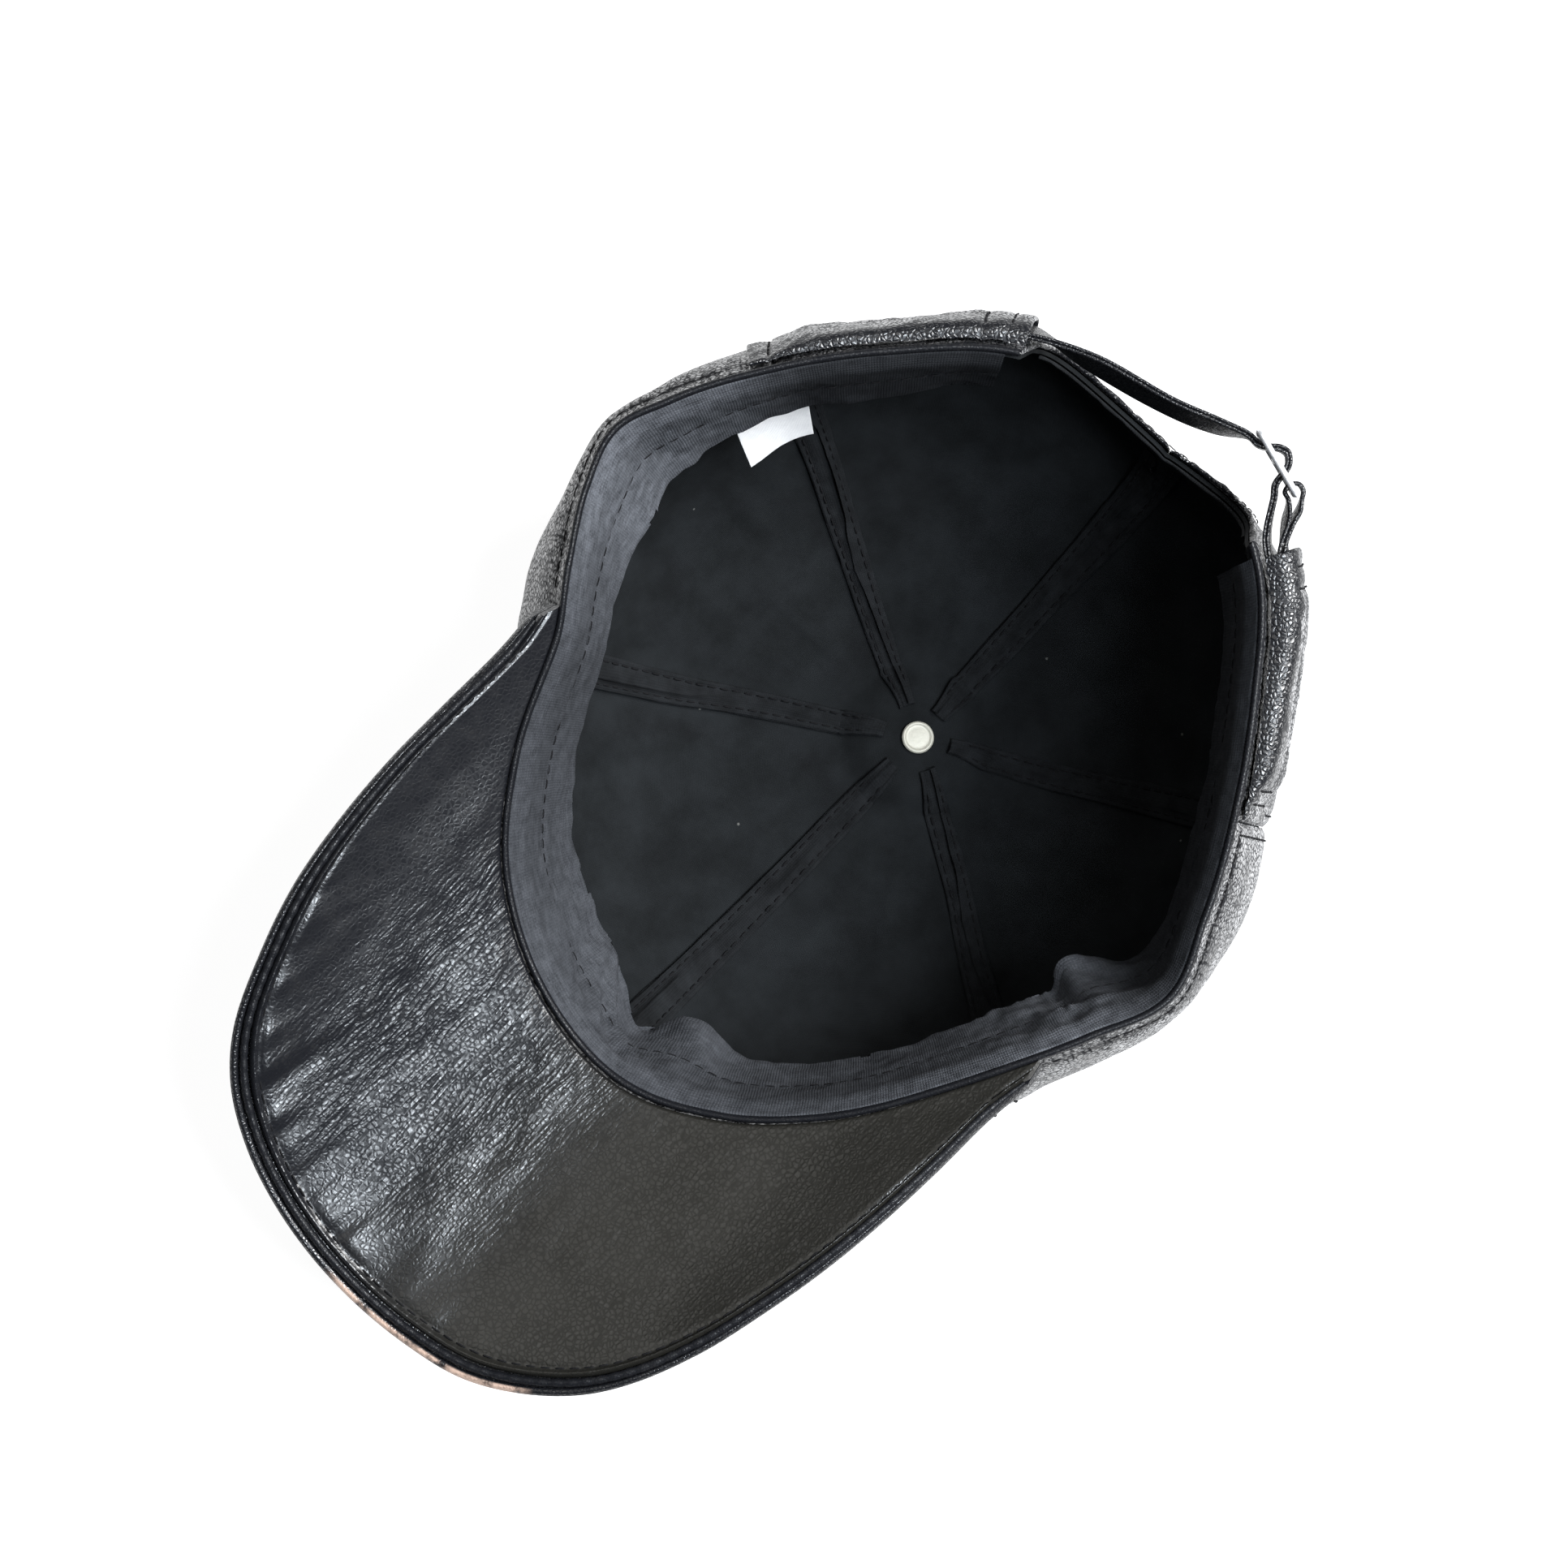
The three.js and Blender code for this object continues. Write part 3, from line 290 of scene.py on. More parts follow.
def crown_point(angle, t):
    angle, t = np.broadcast_arrays(np.asarray(angle, float), t)
    out = np.interp(t, wall_share, wall_points[:, 0]) / FRONT_REACH
    down = np.interp(t, wall_share, wall_points[:, 1]) / CROWN_DEPTH
    a = np.radians(angle)
    oval = FRONT_REACH / np.hypot(np.cos(a) / SIDE_ROUND, np.sin(a))
    reach = mix(rim_reach(angle), oval, smooth(down / 0.5)) * out
    for fold_angle, spread, fold_down, span, push in FOLDS:
        near = bell(turn_between(angle, fold_angle), spread)
        reach = reach + push * near * bell(down - fold_down, span) * smooth(down / 0.14)
    seam = np.sqrt(np.abs(np.sin(np.radians(3 * (angle - 30)))))
    reach = reach + PUFF * seam * smooth(down / 0.15) * smooth((1 - down) / 0.2)
    rise = (rim_level(angle) - CROWN_DEPTH) * (1 - down) ** 2
    x = TOP_SHIFT[0] * down + reach * np.cos(a)
    y = TOP_SHIFT[1] * down + reach * np.sin(a)
    return spots(x, y, CROWN_DEPTH * (1 - down) + rise)


print("the wall runs", round(float(WALL_LENGTH)), "mm from the rim to the top")

# %% [markdown]
# ## How the cap lies
#
# A cap put down on its crown leans towards its heavy peak, and its soft top gives way. So each
# place of the level cap is tipped forwards, lowered, and pressed flat where it meets the floor. A
# physics run could do the same, but it would wrinkle the leather anew at every change of a size.

# %% How the cap lies
def tip(points):
    c, s = math.cos(FORWARD_TILT), math.sin(FORWARD_TILT)
    x, y, z = np.moveaxis(np.asarray(points, float), -1, 0)
    return spots(x, y * c - z * s, y * s + z * c)


grid_angle, grid_t = np.meshgrid(np.arange(0, 360, 5.0), np.arange(0.7, 0.9999, 0.02))
LOWERING = tip(crown_point(grid_angle, grid_t))[..., 2].min() + PRESSED
TOP = tip(crown_point(0.0, 1.0))
button_low, button_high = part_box("button_cover")
SHIFT = np.array([(a + b) * 500 for a, b in zip(button_low, button_high)][:2]) - TOP[:2]
print("the cap is lowered", round(LOWERING, 4), "mm and shifted", SHIFT.round(3))


def lay(points):
    """From the cap's own frame to the row's frame: tipped, lowered and pressed flat on the floor."""
    x, y, z = np.moveaxis(tip(points), -1, 0)
    z = z - LOWERING
    near = np.abs(z) < PRESS_BLEND
    z = np.where(near, (z + PRESS_BLEND) ** 2 / (4 * PRESS_BLEND), np.where(z < 0, 0, z))
    away = np.hypot(x - TOP[0], y - TOP[1])
    lift = 1 - smooth((away - BUTTON_RADIUS - 0.9) / BUTTON_RADIUS)
    z = z + (BUTTON_HEIGHT + GAP) * lift * (z < 12)
    return spots(x + SHIFT[0], y + SHIFT[1], z)


ARCH_MIDDLE = (ARCH_LEFT + ARCH_RIGHT) / 2
ARCH_HALF = (ARCH_LEFT - ARCH_RIGHT) / 2


def t_at_depth(depth):
    return np.interp(depth, wall_points[:, 1], wall_share)


def wall_start(angle):
    """Where the wall starts: at the rim, or along the edge of the arch over the back opening."""
    across = np.minimum(np.abs(turn_between(angle, ARCH_MIDDLE)) / ARCH_HALF, 1)
    return t_at_depth(ARCH_HEIGHT * (1 - across**2.6) ** (1 / 2.2))


def wall_t(angle, v):
    return mix(wall_start(angle), TIP_T, v)


def pushed(at, across, along, distance):
    """Places pushed off a surface along its normal, positive outwards."""
    return at + unit(np.cross(along, across)) * np.asarray(distance, float)[..., None]


def wall_place(angle, t, *distances):
    """Places at one or more distances from the laid wall."""
    def at(turn, run):
        return lay(crown_point(angle + turn, np.clip(t + run, 0, 1)))

    middle, across, along = at(0, 0), at(0.4, 0) - at(-0.4, 0), at(0, 0.004) - at(0, -0.004)
    return [pushed(middle, across, along, distance) for distance in distances]


def lifted(at, u, v, *distances, step=0.002):
    """The same for any surface at(u, v)."""
    across = at(u + step, v) - at(u - step, v)
    along = at(u, np.minimum(1, v + step)) - at(u, np.maximum(0, v - step))
    return [pushed(at(u, v), across, along, distance) for distance in distances]


def sewn(spot, above):
    """A row's places and the direction out of the cloth there."""
    return spot, unit(above - spot)


print("the crown's top lies", round(float(lay(crown_point(0.0, 1.0))[2]), 2), "mm above the floor")

# %% [markdown]
# ## From points to pieces
#
# A piece is a mesh that rides on the cap's one body and takes the place of one CAD solid. It keeps
# the place of every corner on the flat cloth, in millimetres, as a UV map, and weaves and wrinkles
# are drawn along it. The two boxes are compared each time, because a fine mesh can drift away from
# its solid unseen.

# %% Pieces
CLOTH_MAP = "cloth_mm"


def make_piece(name, points, faces, material, flat=None, crease=55):
    """One mesh piece from points in millimetres. flat holds a place on the cloth for every corner."""
    mesh = bpy.data.meshes.new(name)
    mesh.from_pydata((points.reshape(-1, 3) * 0.001).tolist(), [], faces.tolist())
    if flat is not None:
        layer = mesh.uv_layers.new(name=CLOTH_MAP)
        layer.data.foreach_set("uv", flat.astype(np.float32).ravel())
    mesh.polygons.foreach_set("use_smooth", np.ones(len(faces), bool))
    mesh.set_sharp_from_angle(angle=math.radians(crease))
    mesh.validate()
    mesh.update()
    piece = bpy.data.objects.new(name, mesh)
    bpy.context.scene.collection.objects.link(piece)
    mesh.materials.append(material)
    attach(piece, "root")
    return piece


def stand_for(piece, node):
    """The piece takes a CAD node's place, and prints how far the two boxes are apart."""
    piece.name = f"{node}_look"
    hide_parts(node)
    low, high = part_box(node)
    corners = np.array([v.co[:] for v in piece.data.vertices])
    apart = np.abs(np.concatenate([corners.min(0) - low, corners.max(0) - high])).max() * 1000
    print(f"{piece.name}: {sum(len(p.vertices) - 2 for p in piece.data.polygons)} triangles, "
          f"{apart:.1f} mm from the solid's box")


# %% [markdown]
# ## Slabs
#
# Leather and cloth are thin slabs. A Solidify modifier would give them square edges, so a slab is
# made here from two grids of points, joined round their borders into one closed mesh, and its
# thickness falls away near the borders so that they turn over softly.

# %% Slabs
def quads(*corners):
    return np.stack(corners, axis=1)


def grid_faces(rows, columns, wrap):
    """Corner numbers of a grid's cells, and the same with the wrapped column counted on."""
    i, j = np.meshgrid(np.arange(columns if wrap else columns - 1), np.arange(rows - 1))
    i, j = i.ravel(), j.ravel()
    across = (i + 1) % columns
    low, high = j * columns, (j + 1) * columns
    corners = quads(low + i, low + across, high + across, high + i)
    wide = columns + 1 if wrap else columns
    low, high = j * wide, (j + 1) * wide
    return corners, quads(low + i, low + i + 1, high + i + 1, high + i)


def slab(name, high, low, flat, material, ring=False, crease=55):
    """A closed slab between two grids of points (rows, columns, 3)."""
    rows, columns = high.shape[:2]
    corners, cloth = grid_faces(rows, columns, ring)
    size = rows * columns
    faces = [corners, corners[:, ::-1] + size]
    cloths = [cloth, cloth[:, ::-1]]
    wide = columns + 1 if ring else columns
    last, across = (rows - 1) * columns, np.arange(wide - 1)
    ahead = (across + 1) % columns
    faces.append(quads(ahead, across, across + size, ahead + size))
    faces.append(quads(last + across, last + ahead, last + ahead + size, last + across + size))
    row, end = across, (rows - 1) * wide + across
    cloths.append(quads(row + 1, row, row, row + 1))
    cloths.append(quads(end, end + 1, end + 1, end))
    if not ring:
        start = np.arange(rows - 1) * columns
        stop = start + columns - 1
        next_start, next_stop = start + columns, stop + columns
        faces.append(quads(start, next_start, next_start + size, start + size))
        faces.append(quads(next_stop, stop, stop + size, next_stop + size))
        cloths.append(quads(start, next_start, next_start, start))
        cloths.append(quads(next_stop, stop, stop, next_stop))
    points = np.concatenate([high.reshape(-1, 3), low.reshape(-1, 3)])
    faces, kept = outward(points, np.concatenate(faces))
    cloths = np.concatenate(cloths)
    flat = flat.reshape(-1, 2)[cloths if kept else cloths[:, ::-1]]
    return make_piece(name, points, faces, material, flat, crease)


def outward(points, faces):
    """Faces of a closed mesh turned to look outwards, and whether they already did."""
    a, b, c, d = (points[faces[:, k]] for k in range(4))
    volume = np.einsum("ij,ij->", a, np.cross(b, c)) + np.einsum("ij,ij->", a, np.cross(c, d))
    return (faces, True) if volume > 0 else (faces[:, ::-1], False)


def rounded(distance, length, radius):
    """Share of the full thickness at a distance along a run whose ends turn over."""
    near = np.clip(np.minimum(distance, length - distance) / radius, 0, 1)
    return np.sqrt(np.maximum(1 - (1 - near) ** 2, 0.003))


def run_steps(length, radius, count, close=()):
    """Distances along a run, close together at both ends, where the slab turns over."""
    bend = radius * (1 - np.cos(np.radians([0, 20, 42, 66, 90])))
    middle = np.linspace(radius, length - radius, count)[1:-1]
    return np.unique(np.concatenate([bend, middle, length - bend, close]))


# %% [markdown]
# ## Tubes
#
# A hem, a piping and a buckle's wire are all a section carried along a path. Blender's own curves
# give a round one that turns as it likes; here the section is an oval whose two axes are handed in,
# so it can lie flat against the leather.

# %% Tubes
def fan(base, count):
    """Faces that close a ring of corners which starts at base."""
    return [[base, base + j + 1, base + j + 2, base + j + 3] for j in range(0, count - 2, 2)]


def tube(name, path, side, top, width, height, material, sides=12, closed=False):
    """A closed tube with an oval section round a path; side and top are the section's two axes."""
    turn = np.arange(sides) / sides * 2 * np.pi
    half_width = np.broadcast_to(width, len(path)) / 2
    half_height = np.broadcast_to(height, len(path)) / 2
    points = path[:, None] + side[:, None] * (half_width[:, None] * np.cos(turn))[..., None]
    points = points + top[:, None] * (half_height[:, None] * np.sin(turn))[..., None]
    count = len(path)
    loop = np.concatenate([points, points[:1]]) if closed else points
    i, k = np.meshgrid(np.arange(count if closed else count - 1), np.arange(sides), indexing="ij")
    i, k = i.ravel(), k.ravel()
    here, after = i * sides, (i + 1) % count * sides
    beside = (k + 1) % sides
    faces = quads(here + k, here + beside, after + beside, after + k)
    share, length = measured(loop[:, 0])
    along = share * length
    girth = np.pi * float(np.mean(half_width + half_height))
    around = quads(k, k + 1, k + 1, k) / sides * girth
    flat = np.stack([quads(along[i], along[i], along[i + 1], along[i + 1]), around], axis=-1)
    if not closed:
        ends = np.array(fan(0, sides) + fan((count - 1) * sides, sides))
        ends[: len(ends) // 2] = ends[: len(ends) // 2, ::-1]
        faces = np.concatenate([faces, ends])
        flat = np.concatenate([flat, np.zeros((len(ends), 4, 2))])
    turned, kept = outward(points.reshape(-1, 3), faces)
    return make_piece(name, points, turned, material, flat if kept else flat[:, ::-1])

# %% [markdown]
# ## Writing materials as sums
#
# A finish is a small sum of noises: cells for the grain of leather, waves for a weave, broad clouds
# for wear. Written as arithmetic it stays readable, so one class wraps a socket and turns + and *
# into Math nodes, and one method adds every other kind of node.

# %% A socket as a value
class Value:
    def __init__(self, finish, socket):
        self.finish = finish
        self.socket = socket

    def math(self, operation, *values):
        return self.finish.node("ShaderNodeMath", {"operation": operation}, dict(enumerate(values)))

    def __add__(self, other):
        return self.math("ADD", self, other)

    def __sub__(self, other):
        return self.math("SUBTRACT", self, other)

    def __rsub__(self, other):
        return self.math("SUBTRACT", other, self)

    def __mul__(self, other):
        return self.math("MULTIPLY", self, other)

    def __truediv__(self, other):
        return self.math("DIVIDE", self, other)

    __radd__ = __add__
    __rmul__ = __mul__

    def least(self, other):
        return self.math("MINIMUM", self, other)

    def wave(self):
        return self.math("SINE", self)

    def size(self):
        return self.math("ABSOLUTE", self)

    def between(self, low, high):
        """0 below low, 1 above high, smooth between them."""
        sockets = {"Value": self, "From Min": low, "From Max": high}
        return self.finish.node("ShaderNodeMapRange", {"interpolation_type": "SMOOTHSTEP"}, sockets)


# %% A finish
class Finish:
    def __init__(self, name):
        self.material = bpy.data.materials.new(name)
        self.material.use_nodes = True
        self.tree = self.material.node_tree
        self.tree.nodes.clear()

    def node(self, kind, settings=None, sockets=None, out=0):
        node = self.tree.nodes.new(kind)
        for key, value in (settings or {}).items():
            setattr(node, key, value)
        for key, value in (sockets or {}).items():
            if isinstance(value, Value):
                self.tree.links.new(value.socket, node.inputs[key])
            else:
                node.inputs[key].default_value = value
        return Value(self, node.outputs[out]) if len(node.outputs) else None

    def place(self):
        """Places in millimetres in the cap itself."""
        spot = self.node("ShaderNodeTexCoord", out="Object")
        return self.node("ShaderNodeVectorMath", {"operation": "SCALE"}, {0: spot, "Scale": 1000.0})

    def cloth(self):
        """Millimetres along and across the flat cloth."""
        return self.node("ShaderNodeUVMap", {"uv_map": CLOTH_MAP})

    def parts(self, vector):
        x = self.node("ShaderNodeSeparateXYZ", sockets={0: vector})
        return [Value(self, x.socket.node.outputs[k]) for k in range(3)]

    def vector(self, x, y, z=0.0):
        return self.node("ShaderNodeCombineXYZ", sockets={0: x, 1: y, 2: z})

    def stretch(self, vector, x, y, z=1.0):
        return self.node("ShaderNodeVectorMath", {"operation": "MULTIPLY"}, {0: vector, 1: (x, y, z)})

    def noise(self, vector, size, detail=2.0, roughness=0.5):
        """Cloudy noise about 0.5, with spots of a size in millimetres."""
        sockets = {"Vector": vector, "Scale": 1 / size, "Detail": detail, "Roughness": roughness}
        return self.node("ShaderNodeTexNoise", None, sockets)

    def cells(self, vector, size, feature="DISTANCE_TO_EDGE", jitter=1.0):
        sockets = {"Vector": vector, "Scale": 1 / size, "Randomness": jitter}
        return self.node("ShaderNodeTexVoronoi", {"feature": feature}, sockets)

    def nudge(self, vector, size, amount):
        """The same places, pushed about by noise, so that a pattern isn't ruler straight."""
        push = self.node("ShaderNodeTexNoise", None, {"Vector": vector, "Scale": 1 / size, "Detail": 1.0}, 1)
        push = self.node("ShaderNodeVectorMath", {"operation": "SUBTRACT"}, {0: push, 1: (0.5, 0.5, 0.5)})
        push = self.node("ShaderNodeVectorMath", {"operation": "SCALE"}, {0: push, "Scale": amount})
        return self.node("ShaderNodeVectorMath", {"operation": "ADD"}, {0: vector, 1: push})

    def blend(self, first, second, share):
        """A colour between two, where each may be a colour or a link."""
        sockets = {0: share, 6: self.shade(first), 7: self.shade(second)}
        return self.node("ShaderNodeMix", {"data_type": "RGBA"}, sockets, 2)

    def shade(self, colour):
        return colour if isinstance(colour, Value) else (*colour, 1.0)

    def finish(self, colour, roughness, height, metallic=0.0, dull=None, **constants):
        """height is in millimetres and drives a bump; dull is the share of the surface without gloss."""
        bump = self.node("ShaderNodeBump", None, {"Strength": 1.0, "Distance": 0.001, "Height": height})
        sockets = {"Base Color": self.shade(colour), "Roughness": roughness, "Normal": bump}
        sockets |= {"Metallic": metallic, **constants}
        surface = self.node("ShaderNodeBsdfPrincipled", None, sockets)
        if dull is not None:
            plain = {"Base Color": self.shade(colour), "Roughness": 1.0, "Specular IOR Level": 0.0}
            plain = self.node("ShaderNodeBsdfPrincipled", None, plain | {"Normal": bump})
            surface = self.node("ShaderNodeMixShader", None, {0: dull, 1: surface, 2: plain})
        self.node("ShaderNodeOutputMaterial", None, {"Surface": surface})
        return self.material

# %% [markdown]
# ## Leather
#
# The leather is nearly black and its look is all in the gloss: pebbled cells about a millimetre
# wide, drawn out into long creases where it is bent, and tiny puckers where a seam gathers it.
# Cells with a bump give that network better than plain noise. Light gets lost in the valleys
# between the cells, so they are mixed with a surface that has no gloss at all. Where grain is
# seen edge on, a painted sheen lightens its colour in place of the floor's reflection.

# %% Leathers
# The second colour, used on the peak's right half, is browner and lighter: partly the leather's own tone,
# partly painted light
NIGHT, BROWN_AND_PAINTED_LIGHT = (0.007, 0.0075, 0.0095), (0.0125, 0.012, 0.0103)
FLECK = (0.035, 0.034, 0.033)  # worn spots
# Painted sheen: the pale colour that grain seen edge on is blended towards, standing for the floor's
# reflection
PAINTED_EDGE_SHEEN = (0.6, 0.6, 0.61)  # grain seen edge on
TAN = (0.5, 0.36, 0.29)  # rubbed through
RUBBED = (171, 178, 222, 228)  # where the peak's edge is rubbed, in mm along it
GATHERED = (4, 22)  # how far from the rim the puckers fade, in mm


def leather(name, left, right, roughness, pebble, grain, gloss, kind=""):
    """left and right are its colours on the cap's two sides, pebble and grain the height and the
    width of its cells in mm, and kind names what only one piece has."""
    f = Finish(name)
    spot, cloth = f.place(), f.cloth()
    broad = f.noise(spot, 16, 3)
    worn = f.noise(spot, 5, 4, 0.65)
    domes = f.cells(f.nudge(spot, 2.6, 0.7), grain).between(0, 0.3)
    height = domes * pebble * (0.5 + broad) + 0.012 * f.noise(spot, 0.4, 2)
    valleys = (1 - domes) * (0.35 + broad)
    # the colour runs from the left colour to the right one across the cap; on the peak the right half is
    # lighter, partly as painted light
    side = f.parts(spot)[0].between(-25, 30)
    flecks = worn.between(0.45, 0.8) * domes * 0.35
    colour = f.blend(f.blend(left, right, side), FLECK, flecks)
    if kind == "peak":
        creases, relief = peak_wrinkles(f, cloth)
        height = height * 0.7 + relief
        valleys = valleys * 0.6 + creases
    run, depth, _ = f.parts(cloth)
    if kind in ("panel", "sleeve"):
        # painted sheen: grain seen edge on is lightened towards a pale colour, in place of the floor's
        # reflection at grazing angles
        painted_sheen_mask = f.node("ShaderNodeLayerWeight", None, {"Blend": 0.5}, 1).between(0.55, 0.98)
        colour = f.blend(colour, PAINTED_EDGE_SHEEN, painted_sheen_mask * domes * broad.between(0.28, 0.6))
    if kind == "panel":
        gather = f.noise(f.vector(run / 1.25, depth / 9), 1.0, 1.0)
        near = 1 - depth.between(*GATHERED)
        height = height + 0.8 * gather * near
        valleys = valleys + (0.55 - gather).between(0, 0.2) * near * 0.8
    if kind == "edge":
        rubbed = run.between(*RUBBED[:2]) * (1 - run.between(*RUBBED[2:]))
        rubbed = rubbed * (1 - depth.between(0.9, 1.5))
        colour = f.blend(colour, TAN, rubbed * worn.between(0.3, 0.55))
    rough = roughness + 0.12 * (broad - 0.5) + 0.12 * (worn - 0.5) + 0.1 * (1 - domes)
    dull = (valleys * 0.75).least(0.9)
    return f.finish(colour, rough, height, dull=dull, **{"Specular IOR Level": gloss})


def peak_wrinkles(f, cloth):
    """Creases along the peak where it is bent: how deep their shade is, and their height in mm."""
    x, y, _ = f.parts(cloth)
    bent = f.nudge(cloth, 14, 2.4)
    wide = f.cells(f.stretch(bent, 1 / 1.25, 1 / 8.5), 1.0).between(0, 0.34)
    fine = f.cells(f.stretch(bent, 1 / 0.7, 1 / 3.6), 1.0).between(0, 0.4)
    patch = f.noise(cloth, 18, 2).between(0.25, 0.6)
    share = (y + 168).between(-10, 34) * (0.35 + 0.65 * (12 - x).between(-10, 24))
    share = share * (x + 60).between(-6, 24)
    wide_share = share * (0.4 + 0.6 * patch)
    relief = 0.06 * wide * wide_share + 0.025 * fine * share
    return (1 - wide) * wide_share * 0.6 + (1 - fine) * share * 0.4, relief


panel_leather = leather("panel_leather", NIGHT, NIGHT, 0.26, 0.13, 1.2, 0.9, "panel")
sleeve_leather = leather("sleeve_leather", NIGHT, NIGHT, 0.26, 0.11, 1.1, 1.0, "sleeve")
peak_leather = leather("peak_leather", NIGHT, BROWN_AND_PAINTED_LIGHT, 0.215, 0.03, 1.15, 0.7, "peak")
edge_leather = leather("edge_leather", NIGHT, NIGHT, 0.24, 0.05, 0.9, 0.9, "edge")
strap_leather = leather("strap_leather", NIGHT, NIGHT, 0.26, 0.08, 0.8, 0.9)
hem_leather = leather("hem_leather", NIGHT, NIGHT, 0.36, 0.03, 0.8, 0.35)
print(len(peak_leather.node_tree.nodes), "nodes make the peak's leather")

# %% [markdown]
# ## Cloth, thread and metal
#
# The cloths are matt, so their weave and their blotches of colour carry them. The washed band is
# also drawn with streaks along it and with lighter and darker stretches on its way round, partly
# wear and partly painted light and shade. Thread and metal are small here, and one plain grain
# does for both.

# %% Cloths, thread and metal
def weave(f, cloth, pitch):
    """Threads over and under each other, in a plain weave."""
    u, v, _ = f.parts(f.nudge(cloth, 6, 0.5))
    turn = math.pi / pitch
    return ((u * turn).wave() * (v * turn).wave()).size()


def woven(name, dark, light, pitch, blotch, relief=0.05, roughness=0.9, specks=0.0, wear_and_shade=None):
    """Stretches along the cloth, as (run in mm, share of the light colour) pairs, are partly wear and partly
    painted light and shade.
    """
    f = Finish(name)
    cloth, spot = f.cloth(), f.place()
    thread = weave(f, cloth, pitch)
    mottle = f.noise(spot, blotch, 4, 0.6)
    fluff = f.noise(spot, 0.5, 3, 0.7)
    share = (mottle - 0.5) * 1.3 + 0.5 + 0.3 * (fluff - 0.5) + 0.2 * (thread - 0.5)
    share = share.between(0, 1)
    if wear_and_shade:
        streak = f.noise(f.stretch(cloth, 1 / 7, 1 / 0.9), 1.0, 3, 0.7)
        share = 0.35 + 0.65 * share + 0.9 * (streak - 0.5) + 0.9 * (fluff - 0.5)
        # lighter and darker stretches along the cloth: partly wear, partly painted light and painted shade
        share = share * stepped(f.parts(cloth)[0], wear_and_shade)
    colour = f.blend(dark, light, share)
    if specks:
        lint = f.cells(spot, 14.0, "F1").between(0.016, 0.03)
        colour = f.blend((specks, specks, specks * 0.95), colour, lint)
    height = relief * thread + 0.35 * relief * fluff + 0.12 * mottle
    return f.finish(colour, roughness, height, **{"Specular IOR Level": 0.12})


def stepped(run, stops):
    """A value that goes smoothly through (run, value) stops."""
    value = stops[0][1]
    for (here, now), (there, then) in zip(stops, stops[1:]):
        value = value + (then - now) * run.between(here, there)
    return value


def plain(name, colour, roughness, relief, size, metallic=0.0, spread=1.2, **constants):
    f = Finish(name)
    spot = f.place()
    grain = f.noise(spot, size, 3, 0.6)
    light = tuple(c * spread for c in colour)
    dark = tuple(c / spread for c in colour)
    rough = roughness + 0.15 * (grain - 0.5)
    return f.finish(f.blend(dark, light, grain), rough, relief * grain, metallic, **constants)


LINING_DARK, LINING_LIGHT = (0.005, 0.0057, 0.0062), (0.0148, 0.0168, 0.0187)
TAPE_DARK, TAPE_LIGHT = (0.006, 0.0065, 0.0072), (0.016, 0.0175, 0.0195)
lining_cloth = woven("lining_cloth", LINING_DARK, LINING_LIGHT, 0.42, 14, specks=0.1)
tape_cloth = woven("tape_cloth", TAPE_DARK, TAPE_LIGHT, 0.55, 5, relief=0.07)
thread = plain("thread", (0.007, 0.007, 0.008), 0.8, 0.05, 0.3, **{"Specular IOR Level": 0.15})
buckle_metal = plain("buckle_metal", (0.85, 0.86, 0.88), 0.42, 0.004, 0.8, 0.7, 1.05)
rivet_metal = plain("rivet_metal", (0.53, 0.515, 0.44), 0.42, 0.03, 0.7, 0.1, 1.12)
label_cloth = woven("label_cloth", (0.8, 0.8, 0.81), (0.92, 0.92, 0.92), 0.3, 3, 0.03, 0.6)
print(len(bpy.data.materials), "finishes so far")

# %% [markdown]
# ## Six crown panels
#
# Each panel is a wedge of leather a sixth of the way round, sewn to its neighbours along its two
# sides and folded over at the rim. The seams pull the leather in, so every panel swells between
# them. The grid's columns crowd towards the sides, where the edge rolls over and two rows of
# stitches press a groove, and spread out in the middle, where nothing happens.

# %% Crown panels
PANEL_TURN = 60
PANEL_REACH = 90.0  # the radius at which a panel's width is counted
PANEL_WIDTH = math.radians(PANEL_TURN) * PANEL_REACH
SEAM_GAP = 0.25
SEAM_STITCH = 3.4  # from a seam to its rows of stitches
RIM_STITCH = 6.0  # from the rim to the row of stitches round it
PANELS = {
    "panel_back_right": 30, "panel_back_left": 90, "panel_side_left": 150,
    "panel_front_left": 210, "panel_front_right": 270, "panel_side_right": 330,
}


def wall_radius(t):
    return np.interp(t, wall_share, wall_points[:, 0])


def leather_relief(angle, t, from_seam, depth):
    """How far the leather stands off the plain wall: soft waves, puckers, and grooves at the seams."""
    run = np.radians(angle) * PANEL_REACH
    relief = 0.5 * cloud(run / 16, depth / 22, 3) + 0.25 * cloud(run / 6, depth / 11, 4)
    relief = relief * smooth(from_seam / 8) * smooth(depth / 8)
    relief += 0.38 * cloud(run / 2.6, depth / 13, 5) * np.exp(-depth / 10)
    relief += 0.3 * cloud(depth / 4.5, from_seam / 5, 6) * np.exp(-from_seam / 4) * smooth(depth / 10)
    relief -= 0.5 * np.exp(-((from_seam / 1.3) ** 2))
    relief -= 0.22 * bell(from_seam - SEAM_STITCH, 0.6)
    relief -= 0.25 * bell(depth - RIM_STITCH, 0.9)
    return relief


